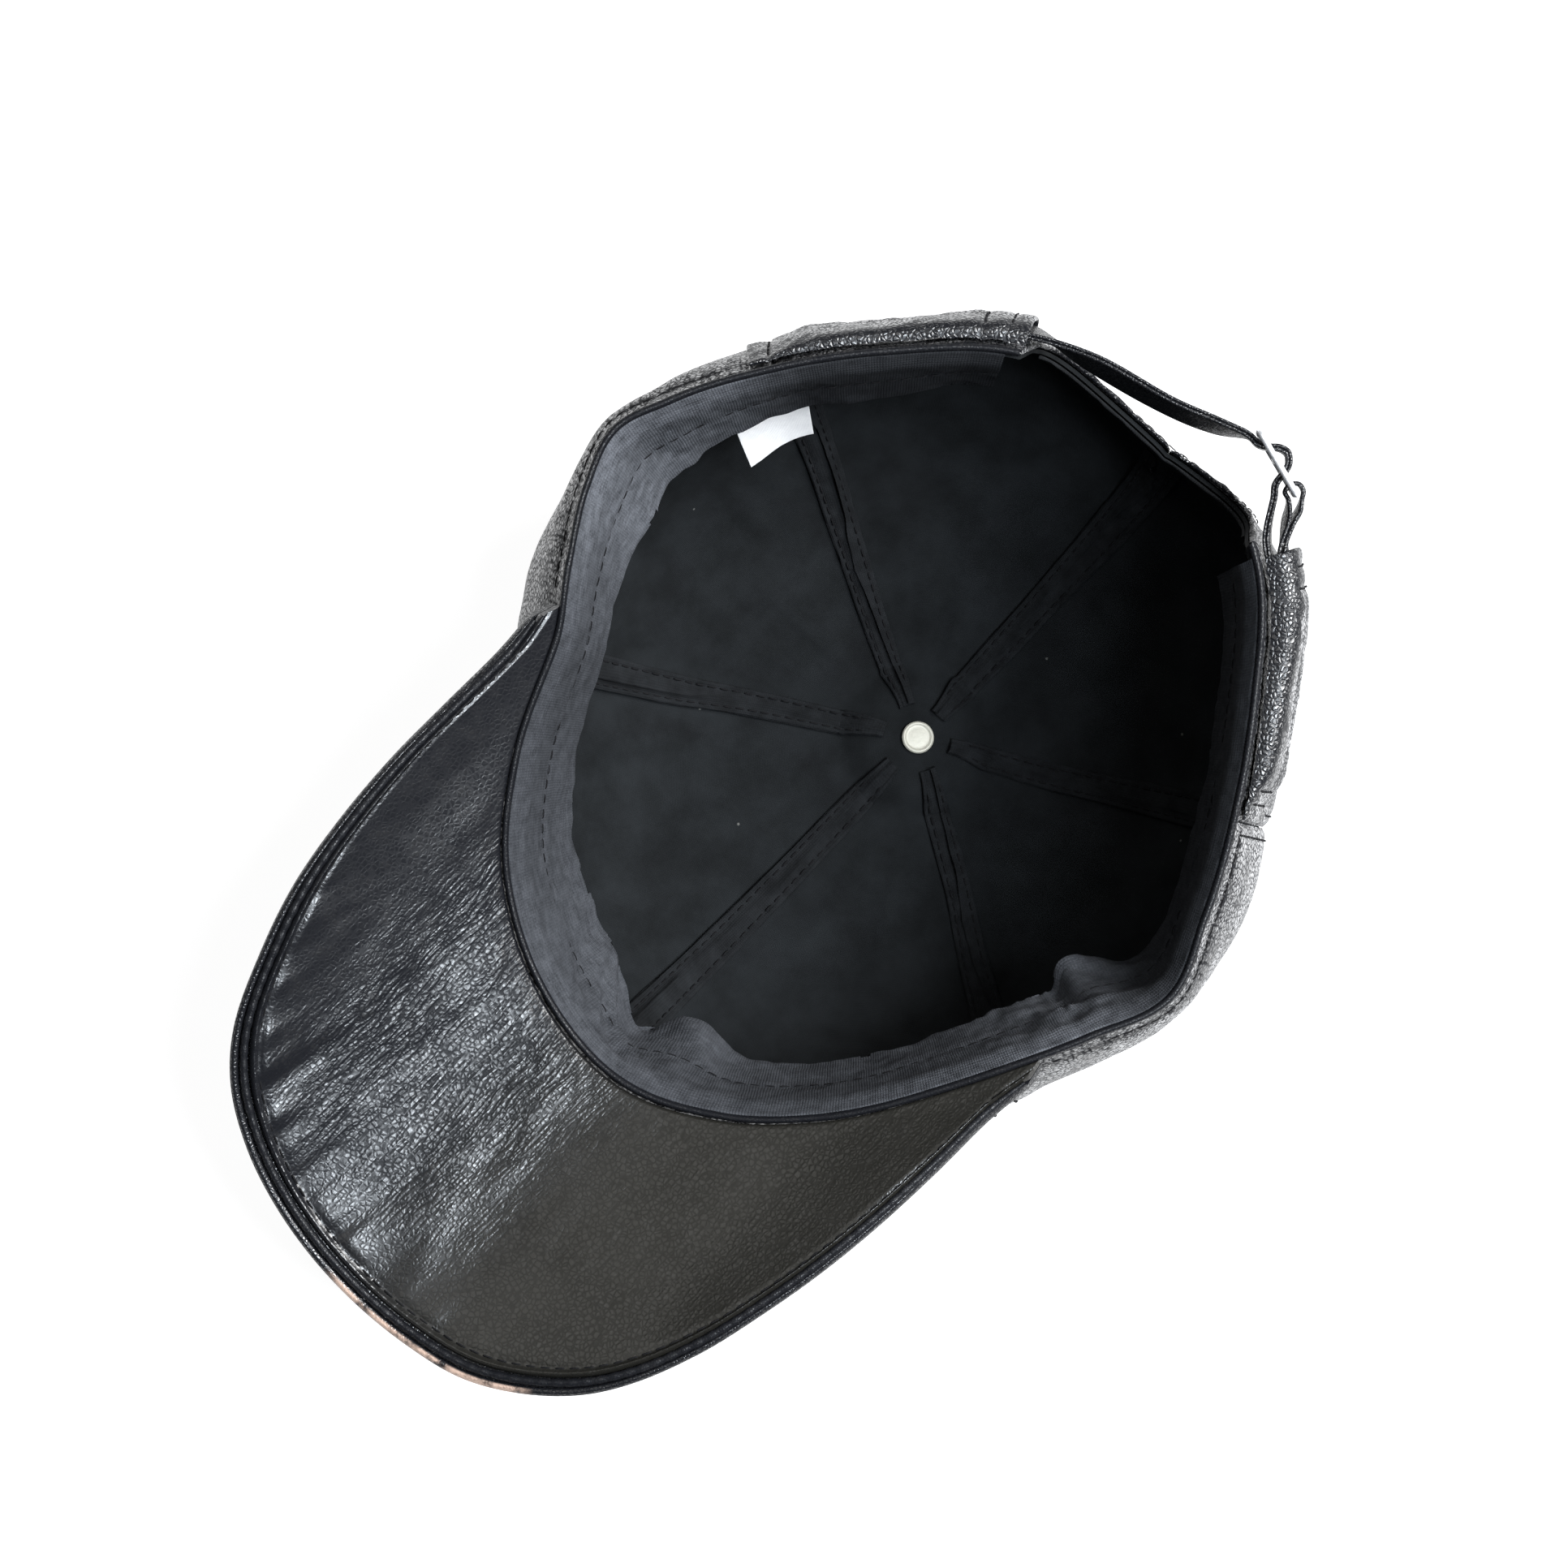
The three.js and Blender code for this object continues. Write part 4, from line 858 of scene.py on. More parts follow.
# %% Six panels
for name, start in PANELS.items():
    close = [1.6, 2.2, 2.8, 3.4, 4.0, 4.8, 6]
    across = run_steps(PANEL_WIDTH, 1.1, 44, [*close, *(PANEL_WIDTH - np.array(close))])
    down = run_steps(WALL_LENGTH, 1.0, 74, [1.6, 3.4, 4.6, 5.4, 6.0, 6.6, 7.6, 9.4, 11.5, 14])
    u, v = np.meshgrid(across / PANEL_WIDTH, down / WALL_LENGTH)
    angle = start + PANEL_TURN * u
    t = wall_t(angle, v)
    radius = np.maximum(HOLE_RADIUS, wall_radius(t))
    angle = angle + np.degrees(SEAM_GAP / 2 / radius) * (1 - 2 * u)
    from_seam = np.minimum(u, 1 - u) * math.radians(PANEL_TURN) * radius
    depth = v * WALL_LENGTH
    thick = LEATHER / 2 * rounded(u * PANEL_WIDTH, PANEL_WIDTH, 1.1) * rounded(depth, WALL_LENGTH, 1.0)
    relief = leather_relief(angle, t, from_seam, depth) * smooth((1 - v) / 0.06)
    high, low = wall_place(angle, t, relief - LEATHER / 2 + thick, -LEATHER / 2 - thick)
    flat = np.stack([np.radians(angle) * PANEL_REACH, depth], axis=-1)
    panel = slab(name, high, low, flat, panel_leather)
    stand_for(panel, name)

# %% [markdown]
# ## Lining
#
# Behind the leather hangs a thin woven lining, cut in the same six wedges. Only its inner face
# shows, between the tapes, where it lies a little slack. One closed ring does for all six, because
# the tapes cover its seams.

# %% Lining
LINING_TOP = LEATHER + GAP + 0.05
LINING_START = 0.008
angles = np.linspace(30, 390, 361)[:-1]
rows = np.concatenate([[LINING_START, LINING_START + 0.004], np.linspace(0.02, 1, 84)])
angle, v = np.meshgrid(angles, rows)
t = wall_t(angle, v)
radius = wall_radius(t)
from_seam = np.abs(turn_between(angle, np.round((angle - 30) / 60) * 60 + 30)) * np.pi / 180 * radius
slack = smooth((from_seam - 6) / 9) * smooth((1 - v) / 0.2) * smooth(v / 0.12)
sag = slack * (0.75 + 0.75 * cloud(angle / 11, v * 5, 21) + 0.35 * cloud(angle / 4, v * 9, 22))
high, low = wall_place(angle, t, np.full_like(t, -LINING_TOP), -(LINING_TOP + LINING) - sag)
wide = np.concatenate([angle, angle[:, :1] + 360], axis=1)
wide_radius = np.concatenate([radius, radius[:, :1]], axis=1)
middle = np.floor((wide - 30) / 60) * 60 + 60
flat = np.stack([np.radians(wide - middle) * wide_radius, wall_t(wide, v[:, :1]) * WALL_LENGTH], axis=-1)
lining = slab("lining", high, low, flat, lining_cloth, ring=True)
stand_for(lining, "lining")

# %% [markdown]
# ## Seam tapes
#
# A folded cloth tape covers each seam from inside. Two rows of stitches hold it, and between them
# the overlapping edge stands open in long scallops that throw a dark line. So each tape is a base
# strip and a thinner flap over half of it, whose free edge wanders and lifts.

# %% Seam tapes
TAPE_TOP = LINING_TOP + LINING + GAP + 0.05
TAPE_END = 0.966
TAPE_STITCH = 0.6  # from the middle to each row of stitches, as a share of the tape's half width
TAPES = {  # angle, start, side of the flap, scallops along the tape, first scallop
    "tape_front": (270, 0.03, -1, 2.2, 0.3),
    "tape_front_left": (210, 0.03, 1, 2.6, 0.0),
    "tape_front_right": (330, 0.03, 1, 2.0, 0.5),
    "tape_back_left": (150, 0.03, -1, 2.4, 0.2),
    "tape_back_right": (30, 0.03, -1, 2.1, 0.1),
    "tape_back": (90, 0.075, 1, 1.8, 0.6),
}
tape_rows = []


def tape_place(middle, across, v, *distances):
    """across runs in mm from the tape's middle line."""
    t = wall_t(middle, v)
    radius = wall_radius(t) * mix(0.86, 1, t)
    angle = middle + np.degrees(across / radius)
    return wall_place(angle, wall_t(angle, v), *distances)


def tape_half(t):
    return mix(TAPE_WIDTH_RIM, TAPE_WIDTH_TOP, t) / 2 * (1 - 0.3 * smooth((t - 0.9) / 0.06))


# %% Six tapes
for name, (middle, start, side, scallops, first) in TAPES.items():
    length = (TAPE_END - start) * (1 - float(wall_start(np.array(float(middle))))) * WALL_LENGTH
    down = run_steps(length, 0.5, 110)
    share = np.linspace(-1, 1, 17)
    share = np.sign(share) * np.abs(share) ** 0.7
    u, d = np.meshgrid(share, down)
    v = start + (TAPE_END - start) * d / length
    half = tape_half(v) * (1 + 0.05 * cloud(d / 14, np.sign(u) * 7.0, 31 + middle))
    thick = TAPE / 2 * np.minimum(rounded((u + 1) * half, 2 * half, 0.5), rounded(d, length, 0.5))
    groove = 0.35 * bell(np.abs(u) - TAPE_STITCH, 0.09)
    puff = 0.34 * cloud(d / 3.2, u * 2.2, 40 + middle)
    level = -TAPE_TOP - TAPE / 2
    high, low = tape_place(middle, u * half, v, level + thick, groove - puff + level - thick)
    flat = np.stack([u * half, d], axis=-1)
    strip = slab(name, high, low, flat, tape_cloth)
    stand_for(strip, name)
    flap_share = np.linspace(0, 1, 9)
    u, d = np.meshgrid(flap_share, down[4:-2])
    v = start + (TAPE_END - start) * d / length
    phase = (d / length * scallops + first) % 1
    free = 0.05 + 0.42 * np.abs(np.sin(np.pi * phase)) ** 0.6 + 0.05 * cloud(d / 6, 0 * d, 50 + middle)
    reach = mix(0.94, free - 0.3, u)
    lift = (0.2 + 1.5 * u**3 * (0.6 + 0.4 * cloud(d / 9, 0 * d, 60 + middle))) * smooth(d / 12)
    thick = 0.22 * np.minimum(rounded(u * 5, 5.0, 0.5), rounded(d - down[4], down[-3] - down[4], 0.5))
    base = -TAPE_TOP - TAPE - 0.12 - lift
    high, low = tape_place(middle, side * reach * tape_half(v), v, base + thick, base - thick)
    flat = np.stack([reach * tape_half(v) + 20, d], axis=-1)
    flap = slab(name + "_flap", high, low, flat, tape_cloth)
    tape_rows.append((middle, start, length, side))

# %% [markdown]
# ## Tape inside the arch
#
# The opening's raw edge is bound with the same tape, laid along the arch. A straight strip would
# wrinkle there; this one simply follows the wall's own coordinates.

# %% Tape inside the arch
arch_span = 0.93 * ARCH_HALF
angles = ARCH_MIDDLE + np.linspace(-arch_span, arch_span, 150)
arch_depth = np.array([0, 0.1, 0.3, 0.6, 1.2, 3.0, 5.0, 6.5, 7.4, 7.9, 8.3, 8.5, 8.6])
angle, d = np.meshgrid(angles, arch_depth)
v = LINING_START + d / WALL_LENGTH * 1.18
thick = TAPE / 2 * rounded(d, arch_depth[-1], 0.6)
puff = 0.15 * cloud(angle / 1.4, d / 3, 71)
level = -TAPE_TOP - TAPE / 2
high, low = wall_place(angle, wall_t(angle, v), level + thick, level - thick - puff)
flat = np.stack([np.radians(angle) * PANEL_REACH, d], axis=-1)
arch_tape = slab("arch_tape", high, low, flat, tape_cloth)
stand_for(arch_tape, "arch_tape")

# %% [markdown]
# ## Rolled hem
#
# Along the rim the leather is folded into a thin round roll, which shows as a dark line between
# the sweatband and the peak. It is a tube with an oval section that swells and thins a little.

# %% Hem
HEM_INSET = 0.95
HEM_SLIM = 0.62  # the roll shows narrower than its solid, because it is half sunk in the seam
hem_angles = np.linspace(ARCH_LEFT + 0.5, ARCH_RIGHT + 360 - 0.5, 1000)


def around(angle, inset, level):
    """A place round the rim, inset from it and at a level above the rim's own."""
    reach, a = rim_reach(angle) - inset, np.radians(angle)
    return lay(spots(reach * np.cos(a), reach * np.sin(a), rim_level(angle) + level))


hem_path = around(hem_angles, HEM_INSET, GAP + HEM_HEIGHT / 2)
hem_side = unit(around(hem_angles, HEM_INSET - 1, GAP + HEM_HEIGHT / 2) - hem_path)
hem_top = unit(around(hem_angles, HEM_INSET, GAP + HEM_HEIGHT / 2 + 1) - hem_path)
hem_run = measured(hem_path)[0] * measured(hem_path)[1]
pinch = 1 + 0.05 * cloud(hem_run / 6, 0 * hem_run, 81)
hem_width = HEM_WIDTH * HEM_SLIM * pinch
rim_hem = tube("rim_hem", hem_path, hem_side, hem_top, hem_width, HEM_HEIGHT * pinch, hem_leather)
stand_for(rim_hem, "rim_hem")

# %% [markdown]
# ## Sweatband
#
# The band is the one soft thing that hangs free: it is sewn to the rim along its upper edge, and its
# lower edge leans into the hollow, creeps in and out, and rucks up at the front and at one side. A
# cloth simulation would move those rucks about, so they are set as bells at their own angles.

# %% Sweatband
BAND_FROM = ARCH_LEFT + 2.5
BAND_TO = ARCH_RIGHT + 360 - 2.5
BAND_INSET = TAPE_TOP + 0.1
BAND_STITCH = 0.5  # the row of stitches along the band, as a share of its width


def band_place(u, v, further=0.0):
    angle = mix(BAND_FROM, BAND_TO, u)
    lean = BAND_LEAN + sum(push * bell(turn_between(angle, at), spread) for at, spread, push in BAND_FOLDS)
    near_arch = smooth((ARCH_LEFT + 28 - angle) / 24) + smooth((48 - np.abs(turn_between(angle, 40))) / 22)
    lean = lean - 7 * near_arch
    inset = BAND_INSET - 2.3 * (1 - smooth(v / 0.16)) + lean * mix(v, v * v, 0.4) + further
    reach = rim_reach(angle) - inset
    a = np.radians(angle)
    return lay(spots(reach * np.cos(a), reach * np.sin(a), rim_level(angle) + BAND_RISE - BAND_WIDTH * v))


band_length = measured(band_place(np.linspace(0, 1, 800), 0.5 * np.ones(800)))[1]
# Lighter and darker stretches round the band: partly wear, partly painted light where the band faces the
# window and painted shade at the back and on the right
BAND_WEAR_AND_SHADE = [  # share of the way round, share of the light colour
    (0, 0.08), (0.09, 0.12), (0.14, 0.75), (0.21, 1.0), (0.26, 0.62), (0.305, 0.36), (0.38, 0.4),
    (0.465, 0.52), (0.587, 0.42), (0.667, 0.6), (0.73, 0.95), (0.78, 0.3), (1.0, 0.26),
]
wear_and_shade = [(share * band_length, light) for share, light in BAND_WEAR_AND_SHADE]
BAND_DARK, BAND_LIGHT = (0.012, 0.013, 0.015), (0.118, 0.125, 0.141)
band_cloth = woven("band_cloth", BAND_DARK, BAND_LIGHT, 0.62, 3.2, relief=0.1, wear_and_shade=wear_and_shade)
print("the band is", round(float(band_length)), "mm long")

# %% Folds of the band
RUCKS = ((270, 1.0), (347, 0.9))  # angle, strength
across = run_steps(BAND_WIDTH, 0.7, 30)
u, d = np.meshgrid(np.linspace(0, 1, 520), across)
run = u * band_length
v = d / BAND_WIDTH
angle = mix(BAND_FROM, BAND_TO, u)
uneven = 1 + v**2 * (0.03 * cloud(run / 9, 0 * run, 91) + 0.02 * cloud(run / 3.5, 0 * run, 92))
ruck = sum(strength * bell(turn_between(angle, at), 8) for at, strength in RUCKS)
ridges = 0.5 - 1.5 * np.abs(cloud(run / 10 + d / 14, d / 22, 93)) - 0.5 * np.abs(cloud(run / 4, d / 7, 96))
creases = 3.0 * ridges * ruck + 0.35 * cloud(run / 11, d / 5, 94)
creases = creases + 0.3 * cloud(run / 4.2 + d / 9, d / 10, 97)
relief = creases * smooth((v - 0.1) / 0.25) - 0.3 * bell(d - BAND_STITCH * BAND_WIDTH, 0.8)
relief = relief + 0.14 * cloud(run / 2.2, d / 2.6, 95)
thick = BAND / 2 * rounded(d, BAND_WIDTH, 0.7)
high, low = lifted(band_place, u, v * uneven, -BAND / 2 + thick, -BAND / 2 - thick - relief)
sweatband = slab("sweatband", high, low, np.stack([run, d], axis=-1), band_cloth)
stand_for(sweatband, "sweatband")

# %% [markdown]
# ## Peak
#
# The peak is two leather skins over a stiffener that doesn't show. Seen from below its edge is a
# small landscape: the outer skin wraps over the edge, then comes a round piping, then a black
# groove, and then the folded edge of the inner skin, which catches the light as a thin line. Rows
# of the grid are placed by their distance from the edge, so these widths stay the same all round.

# %% Peak's outline and surface
ROOT_CLEAR = 0.55  # from the rim's line to the peak's root
EDGE_Y = ROOT_SIDE_Y - ROOT_SETBACK
edge_knots = [
    [-ROOT_SIDE_X - ROOT_FLARE, EDGE_Y],
    *[[PEAK_HALF_WIDTH * across, mix(EDGE_Y, TIP_Y, along)] for across, along in PEAK_OUTLINE],
    [ROOT_SIDE_X + ROOT_FLARE, EDGE_Y],
]
edge_points = through(edge_knots, np.linspace(0, 1, 6000))
edge_share, EDGE_LENGTH = measured(edge_points)


def peak_lines(u):
    """The edge's and the root's plan places at a share of the way round."""
    edge = [np.interp(u, edge_share, edge_points[:, k]) for k in (0, 1)]
    angle = np.radians(mix(*PEAK_ROOT, np.clip(u, 0, 1)))
    reach = rim_reach(np.degrees(angle)) + ROOT_CLEAR
    return edge, (reach * np.cos(angle), reach * np.sin(angle))


def peak_plan(u, v):
    edge, root = peak_lines(u)
    return mix(root[0], edge[0], v), mix(root[1], edge[1], v)


def peak_place(u, v):
    x, y = peak_plan(u, v)
    return lay(spots(x, y, peak_level(x, y)))


def peak_width(u):
    edge, root = peak_lines(u)
    return np.hypot(edge[0] - root[0], edge[1] - root[1])


def peak_grid(near, far_count, columns, start=0.0):
    """Shares u, v and distances from the edge: near rows keep their distance, the rest spread out."""
    u = np.linspace(0.004, 0.996, columns)
    width = peak_width(u)
    squeeze = np.minimum(1, width / 14)
    near = np.asarray(near)[:, None] * squeeze + start * squeeze
    far = mix(near[-1], width - 0.9 * squeeze, np.linspace(0, 1, far_count)[1:, None])
    bend = width - squeeze * 0.9 * (1 - np.sin(np.radians([25, 50, 75, 90])))[:, None]
    rows = np.concatenate([near, far, bend])
    return np.broadcast_to(u, rows.shape), 1 - rows / width, rows, width, squeeze


print("the peak's edge is", round(float(EDGE_LENGTH)), "mm long")

# %% [markdown]
# ## Inner skin of the peak
#
# This skin faces the camera. Its folded edge stands up as a small ridge beside the piping, and at
# the front left it is gathered in short folds across the edge, because the peak is curled there.
# The finer creases are left to its finish, since a mesh that fine would be very heavy.

# %% Inner skin of the peak
PEAK_LINE = 4.3  # from the peak's edge to the folded edge of the inner skin
fold_rows = [0, 0.04, 0.15, 0.35, 0.6, 0.85, 1.15, 1.5, 2.0, 2.7, 3.5]
u, v, edge, width, squeeze = peak_grid(fold_rows, 56, 320, PEAK_LINE)
x, y = peak_plan(u, v)
from_fold = edge - PEAK_LINE * squeeze
roll = rounded(from_fold, width - PEAK_LINE * squeeze, 0.9)
ridge = 0.42 * bell(from_fold - 0.75, 0.5) - 0.3 * bell(from_fold - 2.1, 0.6)
along_edge = u * EDGE_LENGTH
bumps = 0.16 * np.cos(along_edge * 2 * np.pi / 3.3) * bell(from_fold - 0.8, 0.9)
bumps = bumps * (0.35 + 0.65 * bell((u - 0.42) / 0.12, 1))
gathers = cloud(along_edge / 3.8, from_fold / 20, 101) * np.exp(-from_fold / 10) * bell((u - 0.4) / 0.1, 1)
waves = 0.35 * cloud(x / 13, y / 24, 102) + 0.2 * cloud(x / 5, y / 16, 103) * bell((x + 18) / 34, 1)
waves = (waves + 1.2 * gathers) * smooth(from_fold / 4) * smooth((width - edge) / 6)
far = 0.15 + PEAK_SKIN
middle, thick = (0.15 + far) / 2, PEAK_SKIN / 2 * roll
high, low = lifted(peak_place, u, v, middle + thick + (ridge + bumps) * roll + waves, middle - thick)
flat = np.stack([x, y], axis=-1)
peak_lower = slab("peak_lower", high, low, flat, peak_leather)
stand_for(peak_lower, "peak_lower")

# %% [markdown]
# ## Outer skin of the peak
#
# The outer skin goes over the stiffener and is wrapped round its edge, where wear has rubbed a
# stretch of it pale. In the section the wrap is a half round, two millimetres across.

# %% Outer skin of the peak
wrap_rows = [0, 0.04, 0.14, 0.3, 0.55, 0.8, 1.05, 1.3, 1.55, 1.75, 1.9, 2.0, 2.3, 3.0, 4.0, 5.5]
u, v, edge, width, squeeze = peak_grid(wrap_rows, 40, 300)
x, y = peak_plan(u, v)
roll = rounded(edge, width, 1.9)
wrap = np.sqrt(np.maximum(1 - (edge / squeeze - 1.0) ** 2, 0))
under = np.where(edge < 2.0 * squeeze, 0.95 * wrap, 0) - 0.15 - 0.2 * (1 - smooth(edge / 0.4))
waves = 0.3 * cloud(x / 15, y / 26, 105) * smooth(edge / 6) * smooth((width - edge) / 6)
over = -far * roll + waves
high, low = lifted(peak_place, u, v, np.maximum(under, over + 0.05), over)
peak_upper = slab("peak_upper", high, low, np.stack([u * EDGE_LENGTH, edge], axis=-1), edge_leather)
stand_for(peak_upper, "peak_upper")

# %% [markdown]
# ## Piping of the peak
#
# A thin covered cord lies in the groove between the two skins. Like the hem, it is a tube on a path,
# here pinched a little by every stitch of the seam beside it.

# %% Piping of the peak
PIPING_AT = 3.0
PIPING_WIDTH = 1.9
u = np.linspace(0.006, 0.994, 900)
width = peak_width(u)
v = 1 - PIPING_AT * np.minimum(1, width / 14) / width
middle, raised = lifted(peak_place, u, v, 0.75 * np.ones(len(u)), 1.75 * np.ones(len(u)))
top = unit(raised - middle)
side = unit(np.cross(np.gradient(middle, axis=0), top))
run = u * EDGE_LENGTH
pinch = 1 + 0.06 * np.cos(run * 2 * np.pi / 3.3) + 0.05 * cloud(run / 2.2, 0 * run, 107)
narrow = np.minimum(1, width / 14)
wide, high = PIPING_WIDTH * pinch * narrow, 2.2 * pinch * (0.6 + 0.4 * narrow)
piping = tube("peak_piping", middle, side, top, wide, high, hem_leather)

# %% [markdown]
# ## Sleeves
#
# On both sides of the back opening a flat leather tunnel is sewn onto the crown, open at its mouth,
# and the strap runs into it. It stands off the panel by a few millimetres, most at the mouth. The
# two rows of stitches at each end press it down.

# %% Sleeves
SLEEVES = {  # mouth, end, room, angles of the rows of stitches across it
    "sleeve_left": (ARCH_LEFT, 153.5, 3.7, (116, 119.5, 150.5)),
    "sleeve_right": (69, 30.5, 6.6, (67, 64.4, 33.2, 35.4)),
}
SLEEVE_NARROWING = 0.45
sleeve_rows = []


def sleeve_place(angle, v):
    return crown_point(angle, mix(0.003, float(t_at_depth(SLEEVE_HEIGHT)), v))


def sleeve_stand(angle, v, mouth, end, room):
    run = np.abs(angle - end) / abs(mouth - end)
    swell = np.sqrt(np.maximum(1 - (2 * v - 1) ** 8, 0))
    return 2 * GAP + room * swell * smooth(run / 0.25) * mix(SLEEVE_NARROWING, 1, run)


# %% Two sleeves
for name, (mouth, end, room, stitched) in SLEEVES.items():
    first, last = sorted((mouth, end))

    def surface(u, v):
        return lay(sleeve_place(mix(first, last, u), v))

    length = math.radians(last - first) * PANEL_REACH
    across = run_steps(length, 0.6, 80)
    down = run_steps(SLEEVE_HEIGHT, 0.6, 36)
    u, d = np.meshgrid(across / length, down)
    angle = mix(first, last, u)
    v = d / SLEEVE_HEIGHT
    stand = sleeve_stand(angle, v, mouth, end, room)
    pressed = sum(0.45 * bell((angle - at) * 1.57, 0.7) for at in stitched)
    run = u * length
    wrinkle = 0.3 * cloud((run + d) / 3.2, (run - d) / 9, 111) + 0.25 * cloud(run / 10, d / 6, 112)
    thick = LEATHER / 2 * np.minimum(rounded(run, length, 0.6), rounded(d, SLEEVE_HEIGHT, 0.6))
    middle = stand + LEATHER / 2
    high, low = lifted(surface, u, v, middle + thick + wrinkle - pressed, middle - thick - 0.4 * pressed)
    sleeve = slab(name, high, low, np.stack([run, d], axis=-1), sleeve_leather)
    stand_for(sleeve, name)
    for at in stitched:
        q = np.linspace(0.1, 0.9, 60)
        top = sleeve_stand(at, q, mouth, end, room) + LEATHER - 0.4
        sleeve_rows.append(sewn(*lifted(surface, (at - first) / (last - first), q, top, top + 1)))

# %% [markdown]
# ## Strap, tab and buckle
#
# The strap leaves the left sleeve, turns round the buckle's middle bar and goes back into the right
# sleeve. The tab is folded round the buckle's end and held in the same sleeve. Both stand on edge,
# so each is a ribbon between an upper and a lower line. The strap is two plies of leather, which
# show as two dark lines with a light one between.

# %% Ribbons
STRAP_LEVEL = CROWN_DEPTH - STRAP_DEPTH
BUCKLE_ALONG = np.array([math.cos(BUCKLE_TURN), math.sin(BUCKLE_TURN)])
BUCKLE_OUT = np.array([-BUCKLE_ALONG[1], BUCKLE_ALONG[0]])


def beside_panel(angle, away, width):
    """A pair of places, above and below, outside the wall."""
    out = np.array([math.cos(math.radians(angle)), math.sin(math.radians(angle)), 0])
    levels = (STRAP_DEPTH - width / 2, STRAP_DEPTH + width / 2)
    return [crown_point(angle, t_at_depth(level)) + out * away for level in levels]


def upright(x, y, width, lean=0.0):
    at = np.array([x, y]) * FRONT_REACH
    low = at - at / math.hypot(*at) * lean
    return [np.array([*at, STRAP_LEVEL + width / 2]), np.array([*low, STRAP_LEVEL - width / 2])]


def beside_buckle(along, out, width):
    pair = []
    for side in (0.5, -0.5):
        away = out - side * width * math.tan(BUCKLE_LEAN)
        at = BUCKLE_START + BUCKLE_ALONG * along + BUCKLE_OUT * away
        pair.append(np.array([*at, STRAP_LEVEL + side * width]))
    return pair


def ribbon(name, path, width, plies, ply, material, count):
    """A ribbon of one or more plies, side by side, in one mesh."""
    upper, lower = (np.array([pair[k] for pair in path]) for k in (0, 1))

    def surface(u, v):
        return lay(mix(through(upper, u), through(lower, u), np.asarray(v)[..., None]))

    length = measured(surface(np.linspace(0, 1, 900), np.full(900, 0.5)))[1]
    down = run_steps(width, ply / 2, 12)
    u, d = np.meshgrid(np.linspace(0, 1, count), down)
    run = u * length
    thick = ply / 2 * 0.97 * np.minimum(rounded(d, width, ply / 2), rounded(run, length, ply / 2))
    warp = 0.08 * cloud(run / 5, d / 7, 121)
    made = []
    for k in range(plies):
        middle = (k - (plies - 1) / 2) * ply + warp
        high, low = lifted(surface, u, d / width, middle + thick, middle - thick)
        made.append(slab(name, high, low, np.stack([run, d], axis=-1), material))
    for extra in made[1:]:
        merge(made[0], extra)
    print(f"{name}: {length:.0f} mm long")
    return made[0]


def merge(first, second):
    """Joins the second piece's mesh into the first and drops the second."""
    with bpy.context.temp_override(active_object=first, selected_editable_objects=[first, second]):
        bpy.ops.object.join()


# %% Strap
WALL_BOW = 0.8
STRAP_HALF = STRAP_THICKNESS / 2
STRAP_OFF = BUCKLE_PLATE / 2 + GAP + STRAP_HALF
STRAP_BESIDE = GAP + WALL_BOW + STRAP_HALF
strap_path = [
    *[beside_panel(a, STRAP_BESIDE, STRAP_WIDTH) for a in (131, 125, 119)],
    beside_panel(114.5, STRAP_BESIDE + 0.8, STRAP_WIDTH),
    upright(-0.246, 0.958, STRAP_WIDTH, 1), upright(-0.041, 1.011, STRAP_WIDTH, 1.2),
    upright(0.072, 1.052, STRAP_WIDTH, 0.8),
    beside_buckle(0.6, -STRAP_OFF - 0.3, STRAP_WIDTH), beside_buckle(3.1, -STRAP_OFF + 0.4, STRAP_WIDTH),
    beside_buckle(4.6, 0, STRAP_WIDTH), beside_buckle(6.2, STRAP_OFF + 0.3, STRAP_WIDTH),
    beside_buckle(BUCKLE_BAR_AT + 0.3, STRAP_OFF + 1.2, STRAP_WIDTH),
    beside_buckle(10.2, STRAP_OFF + 0.2, STRAP_WIDTH), beside_buckle(11.5, 0, STRAP_WIDTH),
    beside_buckle(12.7, -STRAP_OFF - 0.8, STRAP_WIDTH),
    beside_buckle(15, -STRAP_OFF - TAB_THICKNESS - GAP - 1.2, STRAP_WIDTH),
    beside_panel(71, STRAP_BESIDE + 0.2, STRAP_WIDTH), beside_panel(64, STRAP_BESIDE + 0.1, STRAP_WIDTH),
    beside_panel(58, STRAP_BESIDE, STRAP_WIDTH),
]
strap = ribbon("strap", strap_path, STRAP_WIDTH, 2, STRAP_THICKNESS / 2, strap_leather, 460)
stand_for(strap, "strap")

